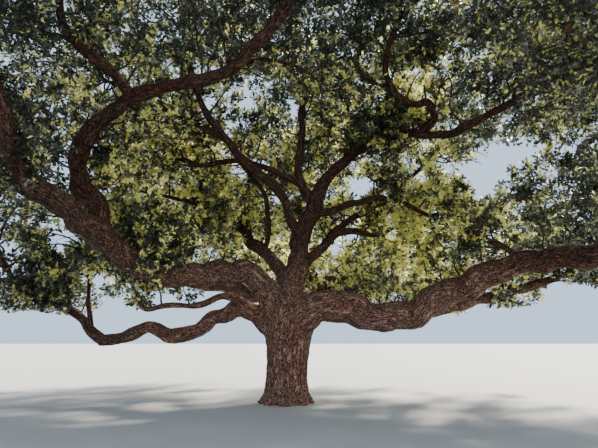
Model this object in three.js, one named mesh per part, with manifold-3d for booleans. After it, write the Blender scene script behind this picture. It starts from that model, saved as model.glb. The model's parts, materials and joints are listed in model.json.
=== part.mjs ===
// A big old live oak: a short stout trunk, long low boughs that sweep out near the ground,
// an upright leader that forks, and a wide open crown of leafy masses.
// Millimetres, +Z up. The origin is the middle of the flat cut at ground level. +X is to the
// right and -Y to the front, as the tree is seen with the low boughs left and right.
import * as THREE from 'three';
import Module from 'manifold-3d';

const wasm = await Module();
wasm.setup();

const METRE = 1000;
const GAP = 0.3; // between neighbouring solids
const UP = new THREE.Vector3(0, 0, 1);
const GOLDEN_ANGLE = Math.PI * (3 - Math.sqrt(5));

// Trunk: half widths at heights above the ground, in metres, from the root flare to the fork
const TRUNK = {
  sides: 20,
  profile: [
    [0, 0.76], [0.1, 0.67], [0.28, 0.6], [0.6, 0.57], [1.0, 0.56],
    [1.4, 0.59], [1.7, 0.66], [2.0, 0.74], [2.3, 0.72], [2.6, 0.56], [2.8, 0.4],
  ],
  flareHeight: 0.35,
  flareDepth: 0.13, // of the half width, for the root ridges at the ground
  flutes: 7,
  lean: 0.09, // metres that the fork stands to the right of the foot
};

// Every limb: the wood that it leaves, its half thickness at root and tip, its number of sides,
// and the places that it passes through, in metres. The first place lies inside its parent.
// A limb that bends round a wide gap is two, a rise and a span.
const LIMBS = {
  leader: { from: 'trunk', root: 0.34, tip: 0.23, sides: 9,
    through: [[0.1, 0, 2.3], [0.19, 0, 3.1], [0.25, 0, 3.75], [0.38, 0, 4.4], [0.64, 0, 4.95],
      [0.9, 0, 5.8]] },
  right_bough: { from: 'trunk', root: 0.43, tip: 0.2, sides: 10,
    through: [[0.1, -0.1, 2.1], [0.75, -0.3, 2.4], [1.75, -0.5, 2.36], [2.95, -0.7, 2.2],
      [3.55, -1.0, 2.37], [4.2, -1.5, 2.82], [4.95, -2.0, 3.25], [5.75, -2.7, 3.3],
      [6.5, -3.7, 3.35], [7.5, -4.5, 3.8], [8.1, -4.9, 4.4]] },
  left_bough: { from: 'trunk', root: 0.32, tip: 0.27, sides: 9,
    through: [[-0.05, -0.05, 2.1], [-0.34, -0.25, 2.6], [-0.62, -0.55, 3.0], [-1.05, -0.85, 3.26],
      [-1.9, -1.6, 3.14], [-2.6, -2.15, 3.05], [-3.3, -2.8, 3.23], [-3.85, -3.6, 3.8]] },
  low_left_bough: { from: 'trunk', root: 0.29, tip: 0.165, sides: 9,
    through: [[-0.2, 0, 1.72], [-0.75, 0, 2.24], [-1.3, 0.1, 2.54], [-1.85, 0.2, 2.28],
      [-2.35, 0.3, 1.96], [-3.15, 0.5, 1.74], [-3.95, 0.6, 1.88], [-4.8, 0.8, 1.65],
      [-5.45, 0.9, 1.57]] },
  low_left_tip: { from: 'low_left_bough', root: 0.155, tip: 0.09, sides: 7,
    through: [[-5.32, 0.88, 1.58], [-5.7, 0.9, 1.88], [-5.94, 0.8, 2.25], [-6.6, 0.64, 2.55],
      [-7.3, 0.5, 2.8]] },
  low_left_riser: { from: 'low_left_tip', root: 0.085, tip: 0.055, sides: 5,
    through: [[-5.74, 0.88, 1.95], [-5.8, 0.75, 2.5], [-5.7, 0.45, 2.95]] },
  low_left_branch: { from: 'low_left_bough', root: 0.105, tip: 0.055, sides: 5,
    through: [[-1.2, 0.05, 2.6], [-1.7, -0.12, 2.76], [-2.35, -0.25, 2.52], [-3.1, -0.5, 2.5],
      [-3.66, -0.8, 2.4], [-3.84, -1.05, 2.76]] },
  left_front_limb: { from: 'left_bough', root: 0.24, tip: 0.12, sides: 7,
    through: [[-3.72, -3.4, 3.6], [-3.98, -4.35, 3.95], [-4.21, -4.95, 4.13], [-4.39, -5.35, 4.34],
      [-4.45, -5.7, 4.64], [-4.45, -6.15, 5.25]] },
  left_side_limb: { from: 'left_front_limb', root: 0.15, tip: 0.09, sides: 7,
    through: [[-3.93, -4.3, 3.9], [-4.7, -4.4, 4.3], [-5.7, -4.1, 4.7], [-6.6, -3.9, 5.1]] },
  arching_limb_rise: { from: 'left_bough', root: 0.22, tip: 0.185, sides: 7,
    through: [[-3.8, -3.5, 3.7], [-3.88, -3.66, 4.3], [-4.2, -3.72, 4.8], [-4.32, -3.76, 5.25],
      [-4.18, -3.84, 5.8]] },
  arching_limb_span: { from: 'arching_limb_rise', root: 0.18, tip: 0.1, sides: 7,
    through: [[-4.24, -3.82, 5.64], [-3.95, -3.92, 6.12], [-3.22, -4.1, 6.44], [-2.2, -4.3, 6.76],
      [-1.1, -4.7, 6.85], [-0.4, -5.3, 7.1], [0.2, -5.9, 7.5]] },
  arching_limb_side: { from: 'arching_limb_span', root: 0.13, tip: 0.08, sides: 5,
    through: [[-3.2, -4.1, 6.44], [-3.28, -4.6, 6.75], [-3.55, -5.2, 6.72], [-3.75, -5.7, 6.85]] },
  right_under_bough: { from: 'right_bough', root: 0.19, tip: 0.1, sides: 7,
    through: [[3.35, -0.85, 2.26], [4.3, -0.9, 2.47], [5.2, -0.8, 2.7], [6.4, -0.7, 2.95],
      [7.6, -0.6, 3.4]] },
  right_riser: { from: 'right_bough', root: 0.17, tip: 0.09, sides: 7,
    through: [[7.05, -4.15, 3.58], [6.95, -4.5, 4.2], [6.7, -5.0, 4.75], [6.3, -5.5, 5.2]] },
  right_stub: { from: 'right_bough', root: 0.09, tip: 0.055, sides: 5,
    through: [[5.5, -2.5, 3.3], [5.2, -2.3, 3.66], [4.89, -2.05, 3.92], [4.67, -1.9, 4.1]] },
  right_spur: { from: 'leader', root: 0.17, tip: 0.075, sides: 7,
    through: [[0.3, 0.03, 3.5], [0.78, 0.3, 4.05], [1.2, 0.5, 4.44], [1.55, 0.7, 4.72],
      [2.0, 0.95, 4.84], [2.6, 1.3, 4.8]] },
  right_spur_upper: { from: 'right_spur', root: 0.12, tip: 0.075, sides: 5,
    through: [[1.1, 0.45, 4.36], [1.55, 0.6, 4.9], [2.15, 0.85, 5.3], [3.0, 1.2, 5.85],
      [3.9, 1.6, 6.7]] },
  right_mid_limb: { from: 'leader', root: 0.13, tip: 0.06, sides: 5,
    through: [[0.7, 0, 5.08], [1.33, -0.2, 5.22], [1.9, -0.42, 5.34], [2.55, -0.7, 5.42],
      [3.1, -0.95, 5.2], [3.5, -1.15, 4.9]] },
  top_right_limb: { from: 'leader', root: 0.2, tip: 0.09, sides: 7,
    through: [[0.86, 0, 5.68], [1.16, -0.08, 6.2], [1.55, -0.2, 6.56], [1.84, -0.3, 6.95],
      [1.85, -0.45, 7.7], [1.6, -0.6, 8.5]] },
  top_centre_limb: { from: 'leader', root: 0.15, tip: 0.08, sides: 5,
    through: [[0.78, 0, 5.42], [0.5, 0.02, 5.9], [0.34, 0, 6.5], [0.42, -0.05, 7.4],
      [0.4, -0.1, 8.3], [0.45, 0, 9.2]] },
  top_left_limb: { from: 'leader', root: 0.15, tip: 0.09, sides: 7,
    through: [[0.38, 0, 4.4], [0.0, -0.2, 5.05], [-0.22, -0.4, 5.65], [-1.1, -0.75, 6.4],
      [-1.7, -1.0, 6.96], [-2.25, -1.2, 7.7], [-2.5, -1.5, 8.3]] },
  top_left_fork: { from: 'top_left_limb', root: 0.1, tip: 0.07, sides: 5,
    through: [[-1.8, -1.03, 7.1], [-2.5, -0.9, 7.45], [-3.1, -0.7, 7.85], [-3.9, -0.4, 8.4]] },
  crossing_limb: { from: 'top_centre_limb', root: 0.1, tip: 0.06, sides: 5,
    through: [[0.45, 0, 5.99], [-0.29, -0.1, 6.35], [-0.87, -0.15, 6.58], [-1.47, -0.1, 6.73],
      [-2.65, 0.2, 6.72], [-3.26, 0.4, 6.96], [-3.81, 0.6, 7.04], [-4.35, 0.8, 7.53]] },
  crooked_limb: { from: 'top_right_limb', root: 0.14, tip: 0.08, sides: 7,
    through: [[1.75, -0.28, 6.8], [2.38, -1.0, 6.92], [3.0, -1.7, 6.86], [3.5, -2.2, 6.58],
      [3.9, -2.6, 6.45], [4.7, -3.3, 6.6], [5.5, -3.9, 6.9]] },
  crooked_hook: { from: 'crooked_limb', root: 0.11, tip: 0.075, sides: 6,
    through: [[3.4, -2.1, 6.64], [3.68, -2.35, 7.02], [3.5, -2.65, 7.24], [3.1, -2.8, 7.1],
      [2.72, -3.05, 7.1], [2.42, -3.3, 7.4]] },
  back_left_limb: { from: 'leader', root: 0.24, tip: 0.11, sides: 7,
    through: [[0.15, 0.05, 2.95], [-0.5, 0.45, 3.9], [-1.0, 0.85, 4.42], [-1.5, 1.4, 5.0],
      [-2.4, 2.3, 5.8], [-3.3, 3.0, 6.6]] },
  back_low_limb: { from: 'trunk', root: 0.27, tip: 0.1, sides: 7,
    through: [[-0.15, 0.2, 2.1], [-0.7, 0.95, 2.75], [-1.9, 2.2, 3.2], [-3.4, 3.3, 3.5],
      [-5.0, 4.2, 4.2]] },
  back_bough: { from: 'trunk', root: 0.3, tip: 0.12, sides: 7,
    through: [[0.1, 0.2, 2.1], [0.3, 1.0, 2.8], [0.1, 2.5, 3.3], [-0.4, 4.3, 3.7],
      [-0.5, 6.0, 4.6]] },
  back_right_limb: { from: 'back_bough', root: 0.18, tip: 0.1, sides: 7,
    through: [[0.25, 1.5, 3.0], [1.3, 2.9, 3.6], [2.7, 4.1, 3.9], [4.0, 5.2, 4.5]] },
  right_back_bough: { from: 'trunk', root: 0.27, tip: 0.1, sides: 7,
    through: [[0.25, 0.15, 2.1], [1.0, 0.75, 2.85], [2.5, 1.6, 3.1], [4.4, 2.4, 3.4],
      [6.3, 3.1, 4.2]] },
  back_top_limb: { from: 'leader', root: 0.16, tip: 0.08, sides: 7,
    through: [[0.5, 0.03, 4.65], [0.7, 0.8, 5.6], [0.6, 1.7, 6.6], [0.7, 2.7, 7.7]] },
};

// Every mass of foliage: the limb whose tip feeds it, its middle and its half sizes, in metres.
const MASSES = {
  low_left_foliage: { on: 'low_left_tip', middle: [-8.6, 0.4, 4.3], half: [2.8, 3.1, 2.0] },
  low_left_riser_foliage: { on: 'low_left_riser', middle: [-5.6, -0.3, 4.3], half: [2.0, 2.0, 1.4] },
  low_left_branch_foliage: { on: 'low_left_branch', middle: [-3.9, -0.2, 4.4], half: [1.7, 1.6, 1.4] },
  left_side_foliage: { on: 'left_side_limb', middle: [-8.3, -4.0, 6.2], half: [3.0, 3.0, 2.3] },
  left_front_foliage: { on: 'left_front_limb', middle: [-6.2, -7.2, 6.9], half: [3.1, 3.0, 2.3] },
  front_left_foliage: { on: 'arching_limb_side', middle: [-2.9, -7.3, 8.4], half: [2.9, 2.7, 2.0] },
  front_foliage: { on: 'arching_limb_span', middle: [1.0, -7.8, 8.5], half: [2.9, 2.6, 2.0] },
  front_right_foliage: { on: 'right_riser', middle: [4.9, -7.5, 6.4], half: [3.0, 2.8, 2.3] },
  right_front_foliage: { on: 'right_bough', middle: [9.0, -5.2, 5.7], half: [3.0, 3.0, 2.2] },
  right_foliage: { on: 'right_under_bough', middle: [9.4, -0.4, 5.2], half: [2.9, 3.3, 2.3] },
  right_stub_foliage: { on: 'right_stub', middle: [4.9, -2.5, 5.2], half: [1.8, 1.8, 1.2] },
  right_mid_foliage: { on: 'right_mid_limb', middle: [4.4, -0.5, 4.7], half: [1.9, 1.7, 1.4] },
  right_spur_foliage: { on: 'right_spur', middle: [3.9, 2.0, 5.4], half: [2.3, 2.1, 1.6] },
  right_upper_foliage: { on: 'right_spur_upper', middle: [5.8, 2.0, 8.3], half: [3.1, 3.2, 2.2] },
  top_right_foliage: { on: 'top_right_limb', middle: [3.0, -1.6, 10.3], half: [3.1, 2.9, 2.2] },
  top_centre_foliage: { on: 'top_centre_limb', middle: [0.0, 1.2, 11.2], half: [3.3, 3.2, 2.0] },
  top_left_foliage: { on: 'top_left_limb', middle: [-2.8, -2.6, 10.2], half: [3.1, 3.1, 2.2] },
  left_upper_foliage: { on: 'top_left_fork', middle: [-5.9, -0.8, 9.0], half: [3.0, 3.2, 2.2] },
  crooked_foliage: { on: 'crooked_limb', middle: [7.0, -3.6, 8.3], half: [3.0, 2.9, 2.2] },
  hook_foliage: { on: 'crooked_hook', middle: [3.3, -5.3, 9.2], half: [2.9, 2.6, 1.9] },
  back_left_foliage: { on: 'back_left_limb', middle: [-4.8, 3.9, 8.3], half: [3.2, 3.1, 2.3] },
  back_low_foliage: { on: 'back_low_limb', middle: [-7.3, 4.9, 5.2], half: [3.2, 3.2, 2.2] },
  back_foliage: { on: 'back_bough', middle: [-1.4, 8.0, 5.9], half: [3.6, 3.1, 2.5] },
  back_right_foliage: { on: 'back_right_limb', middle: [4.7, 7.3, 5.7], half: [3.4, 3.1, 2.4] },
  right_back_foliage: { on: 'right_back_bough', middle: [8.4, 4.2, 5.5], half: [3.1, 3.2, 2.3] },
  back_top_foliage: { on: 'back_top_limb', middle: [0.6, 5.2, 9.3], half: [3.4, 3.1, 2.3] },
};

// A limb swells where it leaves its parent
const COLLAR = { swell: 0.22, fade: 1.6 }; // of its root's half thickness

// The rule by which a mass grows from its stem. Each leaf stands for a spray of them.
const GROWTH = {
  seed: 7,
  stemSides: 5,
  stemRings: 4,
  stemTip: 34,
  stemBeyond: 0.25, // past the middle, of the way from the limb's tip
  stemRise: 0.3, // of the half height, at its tip
  stemLeaves: [0.8, 0.96], // how far along
  twigsPerMetre: 1.5, // of the mean half size
  twigSides: 3,
  twigRoot: 0.55, // of the stem's half thickness there
  twigTip: 18,
  twigReach: [0.64, 0.54, 0.44], // of the half size, the longest that fits
  firstTwig: 0.14, // how far along the stem
  lastTwig: 0.96,
  twigLeaves: [0.4, 0.7, 0.96],
  leafLength: 0.52, // of the mean half size of the mass
  leafWidth: 0.66, // of its length
  leafWidest: 0.48, // how far along
  leafThickness: 0.022, // of its length
  leafSpread: 1.2, // sideways to forwards
  endLeafSpread: 0.3,
  leafTries: 9,
  spaceMargin: 0.02, // of the half size, kept clear of the next mass
  woodMargin: 60,
};

const BARK = { color: 0x5a463a, roughness: 0.95, metalness: 0 };
const FOLIAGE = { color: 0x55632c, roughness: 0.6, metalness: 0 };

const metres = ([x, y, z]) => new THREE.Vector3(x, y, z).multiplyScalar(METRE);

function seeded(seed) {
  let state = seed >>> 0;
  return () => {
    state = (state + 0x6d2b79f5) >>> 0;
    let t = state;
    t = Math.imul(t ^ (t >>> 15), t | 1);
    t ^= t + Math.imul(t ^ (t >>> 7), t | 61);
    return ((t ^ (t >>> 14)) >>> 0) / 4294967296;
  };
}

function solid(points, faces) {
  const vertProperties = new Float32Array(points.flatMap((p) => [p.x, p.y, p.z]));
  const triVerts = new Uint32Array(faces.flat());
  return new wasm.Manifold(new wasm.Mesh({ numProp: 3, vertProperties, triVerts }));
}

// A closed skin over rings of points, one above the other, with a flat fan at each end
function skin(rings) {
  const sides = rings[0].length;
  const faces = [];
  for (let i = 0; i + 1 < rings.length; i++) {
    for (let k = 0; k < sides; k++) {
      const a = i * sides + k;
      const b = i * sides + ((k + 1) % sides);
      faces.push([a, b, b + sides], [a, b + sides, a + sides]);
    }
  }
  const last = (rings.length - 1) * sides;
  for (let k = 1; k + 1 < sides; k++) {
    faces.push([0, k + 1, k], [last, last + k, last + k + 1]);
  }
  return solid(rings.flat(), faces);
}

// A tapering limb of round section along a curve; grown makes it fatter and longer all round
function limbSolid(limb, grown = 0) {
  const { curve, sides, rings } = limb;
  const frames = curve.computeFrenetFrames(rings);
  const loops = [];
  for (let i = 0; i <= rings; i++) {
    const end = i === 0 ? -1 : i === rings ? 1 : 0;
    const centre = curve.getPointAt(i / rings).addScaledVector(frames.tangents[i], end * grown);
    const radius = limb.radius(i / rings) + grown / Math.cos(Math.PI / sides);
    loops.push(Array.from({ length: sides }, (_, k) => {
      const turn = (2 * Math.PI * k) / sides;
      return centre.clone()
        .addScaledVector(frames.normals[i], radius * Math.cos(turn))
        .addScaledVector(frames.binormals[i], radius * Math.sin(turn));
    }));
  }
  return skin(loops);
}

const largest = (body) => body.decompose().sort((a, b) => b.volume() - a.volume())[0];

// Root ridges fade out up the trunk
function trunkSolid(grown = 0) {
  const top = TRUNK.profile.at(-1)[0];
  const rings = TRUNK.profile.map(([height, half]) => {
    const flare = TRUNK.flareDepth * Math.exp(-height / TRUNK.flareHeight);
    const lift = height === 0 ? -grown : height === top ? grown : 0;
    return Array.from({ length: TRUNK.sides }, (_, k) => {
      const turn = (2 * Math.PI * k) / TRUNK.sides;
      const ridge = 1 + flare * (Math.sin(TRUNK.flutes * turn) + 0.5 * Math.sin(3 * turn));
      const radius = half * METRE * ridge + grown / Math.cos(Math.PI / TRUNK.sides);
      const shift = TRUNK.lean * METRE * (height / top) ** 2;
      return new THREE.Vector3(
        shift + radius * Math.cos(turn),
        radius * Math.sin(turn),
        height * METRE + lift,
      );
    });
  });
  return skin(rings);
}

function grownLimb(name) {
  const { root, tip, sides, through } = LIMBS[name];
  const curve = new THREE.CatmullRomCurve3(through.map(metres), false, 'centripetal');
  const length = curve.getLength();
  const collar = (along) => COLLAR.swell * root * Math.exp((-along * length) / (COLLAR.fade * root * METRE));
  return {
    curve,
    sides,
    rings: through.length,
    radius: (along) => METRE * (root + (tip - root) * along + collar(along)),
  };
}

// The stem of a mass runs on from its limb's tip, through the middle of the mass
function stemOf(name, limb) {
  const { middle, half } = MASSES[name];
  const centre = metres(middle);
  const heading = limb.curve.getTangentAt(1);
  const start = limb.curve.getPointAt(1).addScaledVector(heading, GAP);
  const bend = start.clone().addScaledVector(heading, centre.distanceTo(start) / 3);
  const end = centre.clone().lerp(start, -GROWTH.stemBeyond)
    .addScaledVector(UP, GROWTH.stemRise * half[2] * METRE);
  const root = limb.radius(1);
  return {
    curve: new THREE.CubicBezierCurve3(start, bend, centre.lerp(end, 0.2), end),
    sides: GROWTH.stemSides,
    rings: GROWTH.stemRings,
    radius: (along) => root + (GROWTH.stemTip - root) * along,
  };
}

function meanHalf(name) {
  const [x, y, z] = MASSES[name].half;
  return (x + y + z) / 3;
}

// How far out of its middle a place lies, in half sizes of the mass
function depthIn(name, place) {
  const { middle, half } = MASSES[name];
  const [x, y, z] = [place.x, place.y, place.z].map((v, i) => (v / METRE - middle[i]) / half[i]);
  return Math.hypot(x, y, z);
}

function inSpace(name, place) {
  const own = depthIn(name, place);
  return own <= 1 && Object.keys(MASSES).every(
    (other) => other === name || depthIn(other, place) > own + GROWTH.spaceMargin,
  );
}

// Straight stretches that stand for the wood when twigs and leaves keep off it
function stretches(owner, wood, count) {
  const places = wood.curve.getSpacedPoints(count);
  return places.slice(1).map((end, i) => ({
    owner,
    line: new THREE.Line3(places[i], end),
    radius: Math.max(wood.radius(i / count), wood.radius((i + 1) / count)),
  }));
}

const nearest = new THREE.Vector3();
function clearOfWood(places, wood, ignore) {
  return wood.every(({ owner, line, radius }) => owner === ignore || places.every((place) => {
    line.closestPointToPoint(place, true, nearest);
    return nearest.distanceTo(place) > radius + GROWTH.woodMargin;
  }));
}

// A leaf spray is a flat diamond blade, ridged along its middle
function leafAt(root, heading, face, length) {
  const across = new THREE.Vector3().crossVectors(face, heading).normalize();
  const normal = new THREE.Vector3().crossVectors(heading, across);
  const at = (along, side, rise) => root.clone()
    .addScaledVector(heading, along * length)
    .addScaledVector(across, side * length)
    .addScaledVector(normal, rise * length);
  const widest = GROWTH.leafWidest;
  const width = GROWTH.leafWidth / 2;
  const thick = GROWTH.leafThickness / 2;
  return [
    at(0, 0, 0), at(widest, width, 0), at(1, 0, 0),
    at(widest, -width, 0), at(widest, 0, thick), at(widest, 0, -thick),
  ];
}

const LEAF_FACES = [[0, 4, 1], [1, 4, 2], [2, 4, 3], [3, 4, 0], [1, 5, 0], [2, 5, 1], [3, 5, 2], [0, 5, 3]];

function leafSamples([root, left, tip, right, middle]) {
  const half = (a, b) => a.clone().lerp(b, 0.5);
  return [
    left, tip, right, middle,
    half(left, tip), half(right, tip), half(middle, tip), half(root, left), half(root, right),
  ];
}

// A leaf that would leave the space or touch the wood is turned further round, or left out
function leavesOn(name, twig, stations, wood, random, turnFrom) {
  const leaves = [];
  const fullLength = GROWTH.leafLength * METRE * meanHalf(name);
  stations.forEach((station, i) => {
    const root = twig.curve.getPointAt(station);
    const along = twig.curve.getTangentAt(station);
    const level = new THREE.Vector3().crossVectors(along, UP).normalize();
    const spread = station > 0.9 ? GROWTH.endLeafSpread : GROWTH.leafSpread;
    for (let attempt = 0; attempt < GROWTH.leafTries; attempt++) {
      const side = level.clone().applyAxisAngle(along, turnFrom + GOLDEN_ANGLE * (3 * i + attempt));
      const heading = along.clone().addScaledVector(side, spread).normalize();
      const face = new THREE.Vector3(random() - 0.5, random() - 0.5, 0.3 + random());
      const length = fullLength * (1.05 - 0.04 * attempt);
      const points = leafAt(root, heading, face, length);
      const samples = leafSamples(points);
      if (samples.every((p) => inSpace(name, p)) && clearOfWood(samples, wood, name)) {
        leaves.push(solid(points, LEAF_FACES));
        return;
      }
    }
  });
  return leaves;
}

// Twigs head for places spread evenly over the mass, and leave the stem where that is short
function twigToward(name, stem, rise, turn, reach) {
  const { middle, half } = MASSES[name];
  const flat = Math.sqrt(1 - rise * rise);
  const outward = new THREE.Vector3(flat * Math.cos(turn), flat * Math.sin(turn), rise);
  const end = outward.clone().multiply(metres(half)).multiplyScalar(reach).add(metres(middle));
  const stemHeading = stem.curve.getPoint(1).sub(stem.curve.getPoint(0)).normalize();
  const ahead = (1 + outward.dot(stemHeading)) / 2;
  const along = THREE.MathUtils.lerp(GROWTH.firstTwig, GROWTH.lastTwig, ahead);
  const start = stem.curve.getPointAt(along);
  const root = GROWTH.twigRoot * stem.radius(along);
  return {
    curve: new THREE.LineCurve3(start, end),
    sides: GROWTH.twigSides,
    rings: 1,
    radius: (s) => root + (GROWTH.twigTip - root) * s,
  };
}

function twigFits(name, twig, wood) {
  const samples = [0.35, 0.5, 0.65, 0.8, 1].map((s) => twig.curve.getPointAt(s));
  return samples.slice(2).every((p) => inSpace(name, p)) && clearOfWood(samples, wood, name);
}

function massSolid(name, stem, wood, random) {
  const firstTurn = 2 * Math.PI * random();
  const pieces = [limbSolid(stem), ...leavesOn(name, stem, GROWTH.stemLeaves, wood, random, firstTurn)];
  const twigs = Math.round(GROWTH.twigsPerMetre * meanHalf(name));
  for (let i = 0; i < twigs; i++) {
    const rise = 1 - (2 * i + 1) / twigs;
    const turn = firstTurn + GOLDEN_ANGLE * i;
    const twig = GROWTH.twigReach
      .map((reach) => twigToward(name, stem, rise, turn, reach))
      .find((candidate) => twigFits(name, candidate, wood));
    if (twig) {
      const leaves = leavesOn(name, twig, GROWTH.twigLeaves, wood, random, GOLDEN_ANGLE * i);
      pieces.push(limbSolid(twig), ...leaves);
    }
  }
  return largest(wasm.Manifold.union(pieces));
}

function meshOf(name, body, finish) {
  const { numProp, numVert, vertProperties, triVerts } = body.getMesh();
  const positions = new Float32Array(numVert * 3);
  for (let i = 0; i < numVert; i++) {
    positions.set(vertProperties.subarray(i * numProp, i * numProp + 3), i * 3);
  }
  const geometry = new THREE.BufferGeometry()
    .setAttribute('position', new THREE.BufferAttribute(positions, 3))
    .setIndex(new THREE.BufferAttribute(triVerts, 1));
  geometry.computeVertexNormals();
  const mesh = new THREE.Mesh(geometry, new THREE.MeshStandardMaterial(finish));
  mesh.name = name;
  return mesh;
}

const tree = new THREE.Group();
const nodes = { trunk: meshOf('trunk', trunkSolid(), BARK) };
tree.add(nodes.trunk);

// Each limb is cut clear of the trunk and of every limb before it
const limbs = {};
const cutters = [trunkSolid(GAP)];
for (const [name, { from }] of Object.entries(LIMBS)) {
  limbs[name] = grownLimb(name);
  const body = cutters.reduce((rest, cutter) => rest.subtract(cutter), limbSolid(limbs[name]));
  nodes[name] = meshOf(name, largest(body), BARK);
  nodes[from].add(nodes[name]);
  cutters.push(limbSolid(limbs[name], GAP));
}

const stems = {};
for (const [name, { on }] of Object.entries(MASSES)) {
  stems[name] = stemOf(name, limbs[on]);
}
const wood = [
  ...Object.entries(limbs).flatMap(([name, limb]) => stretches(name, limb, 14)),
  ...Object.entries(stems).flatMap(([name, stem]) => stretches(name, stem, 4)),
];
Object.entries(MASSES).forEach(([name, { on }], i) => {
  const body = massSolid(name, stems[name], wood, seeded(GROWTH.seed + i));
  nodes[on].add(meshOf(name, body, FOLIAGE));
});

export default tree;
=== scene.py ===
"""A spreading live oak, dressed round its solids: furrowed bark over the trunk, boughs and limbs,
and a crown of twigs and small leathery leaves grown on from the limbs."""

import json
import math

import bmesh
import bpy
import numpy as np
from bpy.props import FloatProperty, FloatVectorProperty, IntProperty, PointerProperty
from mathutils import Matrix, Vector, noise

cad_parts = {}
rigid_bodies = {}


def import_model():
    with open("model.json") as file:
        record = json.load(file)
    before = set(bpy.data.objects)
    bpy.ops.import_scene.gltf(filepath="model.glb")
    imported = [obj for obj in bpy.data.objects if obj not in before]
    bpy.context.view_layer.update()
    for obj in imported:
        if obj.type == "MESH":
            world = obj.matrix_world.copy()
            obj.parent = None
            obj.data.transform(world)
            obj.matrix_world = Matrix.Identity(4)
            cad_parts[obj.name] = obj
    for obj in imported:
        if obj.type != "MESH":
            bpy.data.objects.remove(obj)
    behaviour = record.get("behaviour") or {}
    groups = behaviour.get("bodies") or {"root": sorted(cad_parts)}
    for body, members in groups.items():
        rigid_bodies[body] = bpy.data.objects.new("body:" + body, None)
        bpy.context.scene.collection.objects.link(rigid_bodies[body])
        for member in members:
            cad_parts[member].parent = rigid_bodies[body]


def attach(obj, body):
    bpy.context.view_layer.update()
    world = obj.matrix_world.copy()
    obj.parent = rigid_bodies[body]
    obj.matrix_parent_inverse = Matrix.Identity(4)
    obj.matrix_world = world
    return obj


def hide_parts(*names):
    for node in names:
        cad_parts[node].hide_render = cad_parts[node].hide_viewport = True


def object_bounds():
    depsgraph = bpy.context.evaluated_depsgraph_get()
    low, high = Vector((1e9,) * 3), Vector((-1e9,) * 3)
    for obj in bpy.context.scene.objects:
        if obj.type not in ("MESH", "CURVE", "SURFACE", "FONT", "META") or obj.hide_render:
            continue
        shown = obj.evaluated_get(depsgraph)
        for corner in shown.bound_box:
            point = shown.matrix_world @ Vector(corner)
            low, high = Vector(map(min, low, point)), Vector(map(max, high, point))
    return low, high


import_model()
CAD_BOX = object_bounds()

bl_info = {
    "name": "Spreading Live Oak",
    "version": (1, 0, 0),
    "blender": (4, 5, 0),
    "location": "View3D > Sidebar > Oak",
    "description": "Gives the oak its bark, twigs and leaves",
    "category": "Add Mesh",
}

UP = np.array([0.0, 0.0, 1.0])
AWAY = np.array([0.0, 1.0, 0.0])  # from the photographer, into the picture
RIGHT = np.array([1.0, 0.0, 0.0])
TINY = 1e-9
GOLDEN_ANGLE = math.pi * (3 - math.sqrt(5))

# Half widths of the trunk at heights above the ground, from the root flare to the fork
TRUNK_PROFILE = [
    (0, 0.76), (0.1, 0.67), (0.28, 0.6), (0.6, 0.57), (1.0, 0.56), (1.4, 0.59),
    (1.7, 0.66), (2.0, 0.74), (2.3, 0.72), (2.6, 0.56), (2.8, 0.4),
]
TRUNK_TOP = TRUNK_PROFILE[-1][0]
TRUNK_LEAN = 0.09  # to the right, at the top
TRUNK_RINGS = 40
TRUNK_CORNERS = 72
TRUNK_FLUTES = 7
BROAD_FLUTES = 3
BROAD_FLUTE_DEPTH = 0.5  # of the others'
FLARE_HEIGHT = 0.35
FLARE_DEPTH = 0.13
FLUTING = 0.07  # how deep the trunk lies between the strands of wood that run down it from the boughs

# Strands of wood down the trunk: the turn of each about it in degrees, at the fork and at the ground
STRANDS = [
    (240, 228), (279, 272), (322, 315), (2, -5), (42, 48), (84, 88), (122, 126), (160, 158), (200, 190),
]
STRAND_HALF = 0.19
STRAND_TOP = 2.45
STRAND_RINGS = 30
BELOW_GROUND = 0.15  # built this far down, then cut off flat
FORK = (0.0, -0.05, 2.2)  # the boughs run into the trunk in one smooth sweep round here
FORK_REACH = 1.5
FORK_ROUNDS = 16  # of smoothing
FORK_LEVELS = 20
FORK_STRENGTH = 1.6  # above 1, so that the middle of the fork is smoothed in full
SMOOTH_ROUNDS = 10
FINE_HEIGHT = 2.9  # the trunk's faces are halved up to here
FINE_REACH = 1.15

# The bark's relief: furrows that wander off the grain, broad lumps and knots
FURROW_STRETCH = 5.0  # of a ridge of bark, along the wood
FURROW_OCTAVES = 3
FURROW_FADE = 0.55  # height of each octave beside the one before
FURROW_STEP = 2.1  # how much finer it is
FURROW_RANGE = 1.6  # of the noise, in furrow depths
FURROW_LEVEL = 0.75
WANDER_ACROSS = 3  # waves to the metre of wood
WANDER_ALONG = 1.5
WANDER_LAYER = 40
LUMPS_ACROSS = 1.6
LUMPS_ALONG = 1.1
LUMP_NOISE = (1.0, 2.0, 3)  # its fading, step and octaves
KNOTS = [((2.2, -0.95, 2.36), 0.13), ((5.47, -4.25, 3.06), 0.12), ((-0.95, -1.2, 3.2), 0.08)]

# The parts of a knot in its own half size: height, place and width of its rim, its hollow and its grooves
KNOT_RIM = (0.32, 0.8, 0.22)
KNOT_HOLLOW = (0.25, 0.0, 0.4)
KNOT_GROOVES = [(1.0, 0.5, 0.14), (1.0, 1.1, 0.14)]
KNOT_GROOVE_DEPTH = 0.12

# Radius at which wood carries furrows, and then lumps, of full height, and the least share on thin wood
TRUNK_RELIEF = ((0.3, 0.45), (0.4, 0.3))
LIMB_RELIEF = ((0.22, 0.3), (0.4, 0.1))
LIMB_FURROWS = 0.7  # of the spacing and depth on the trunk

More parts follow.
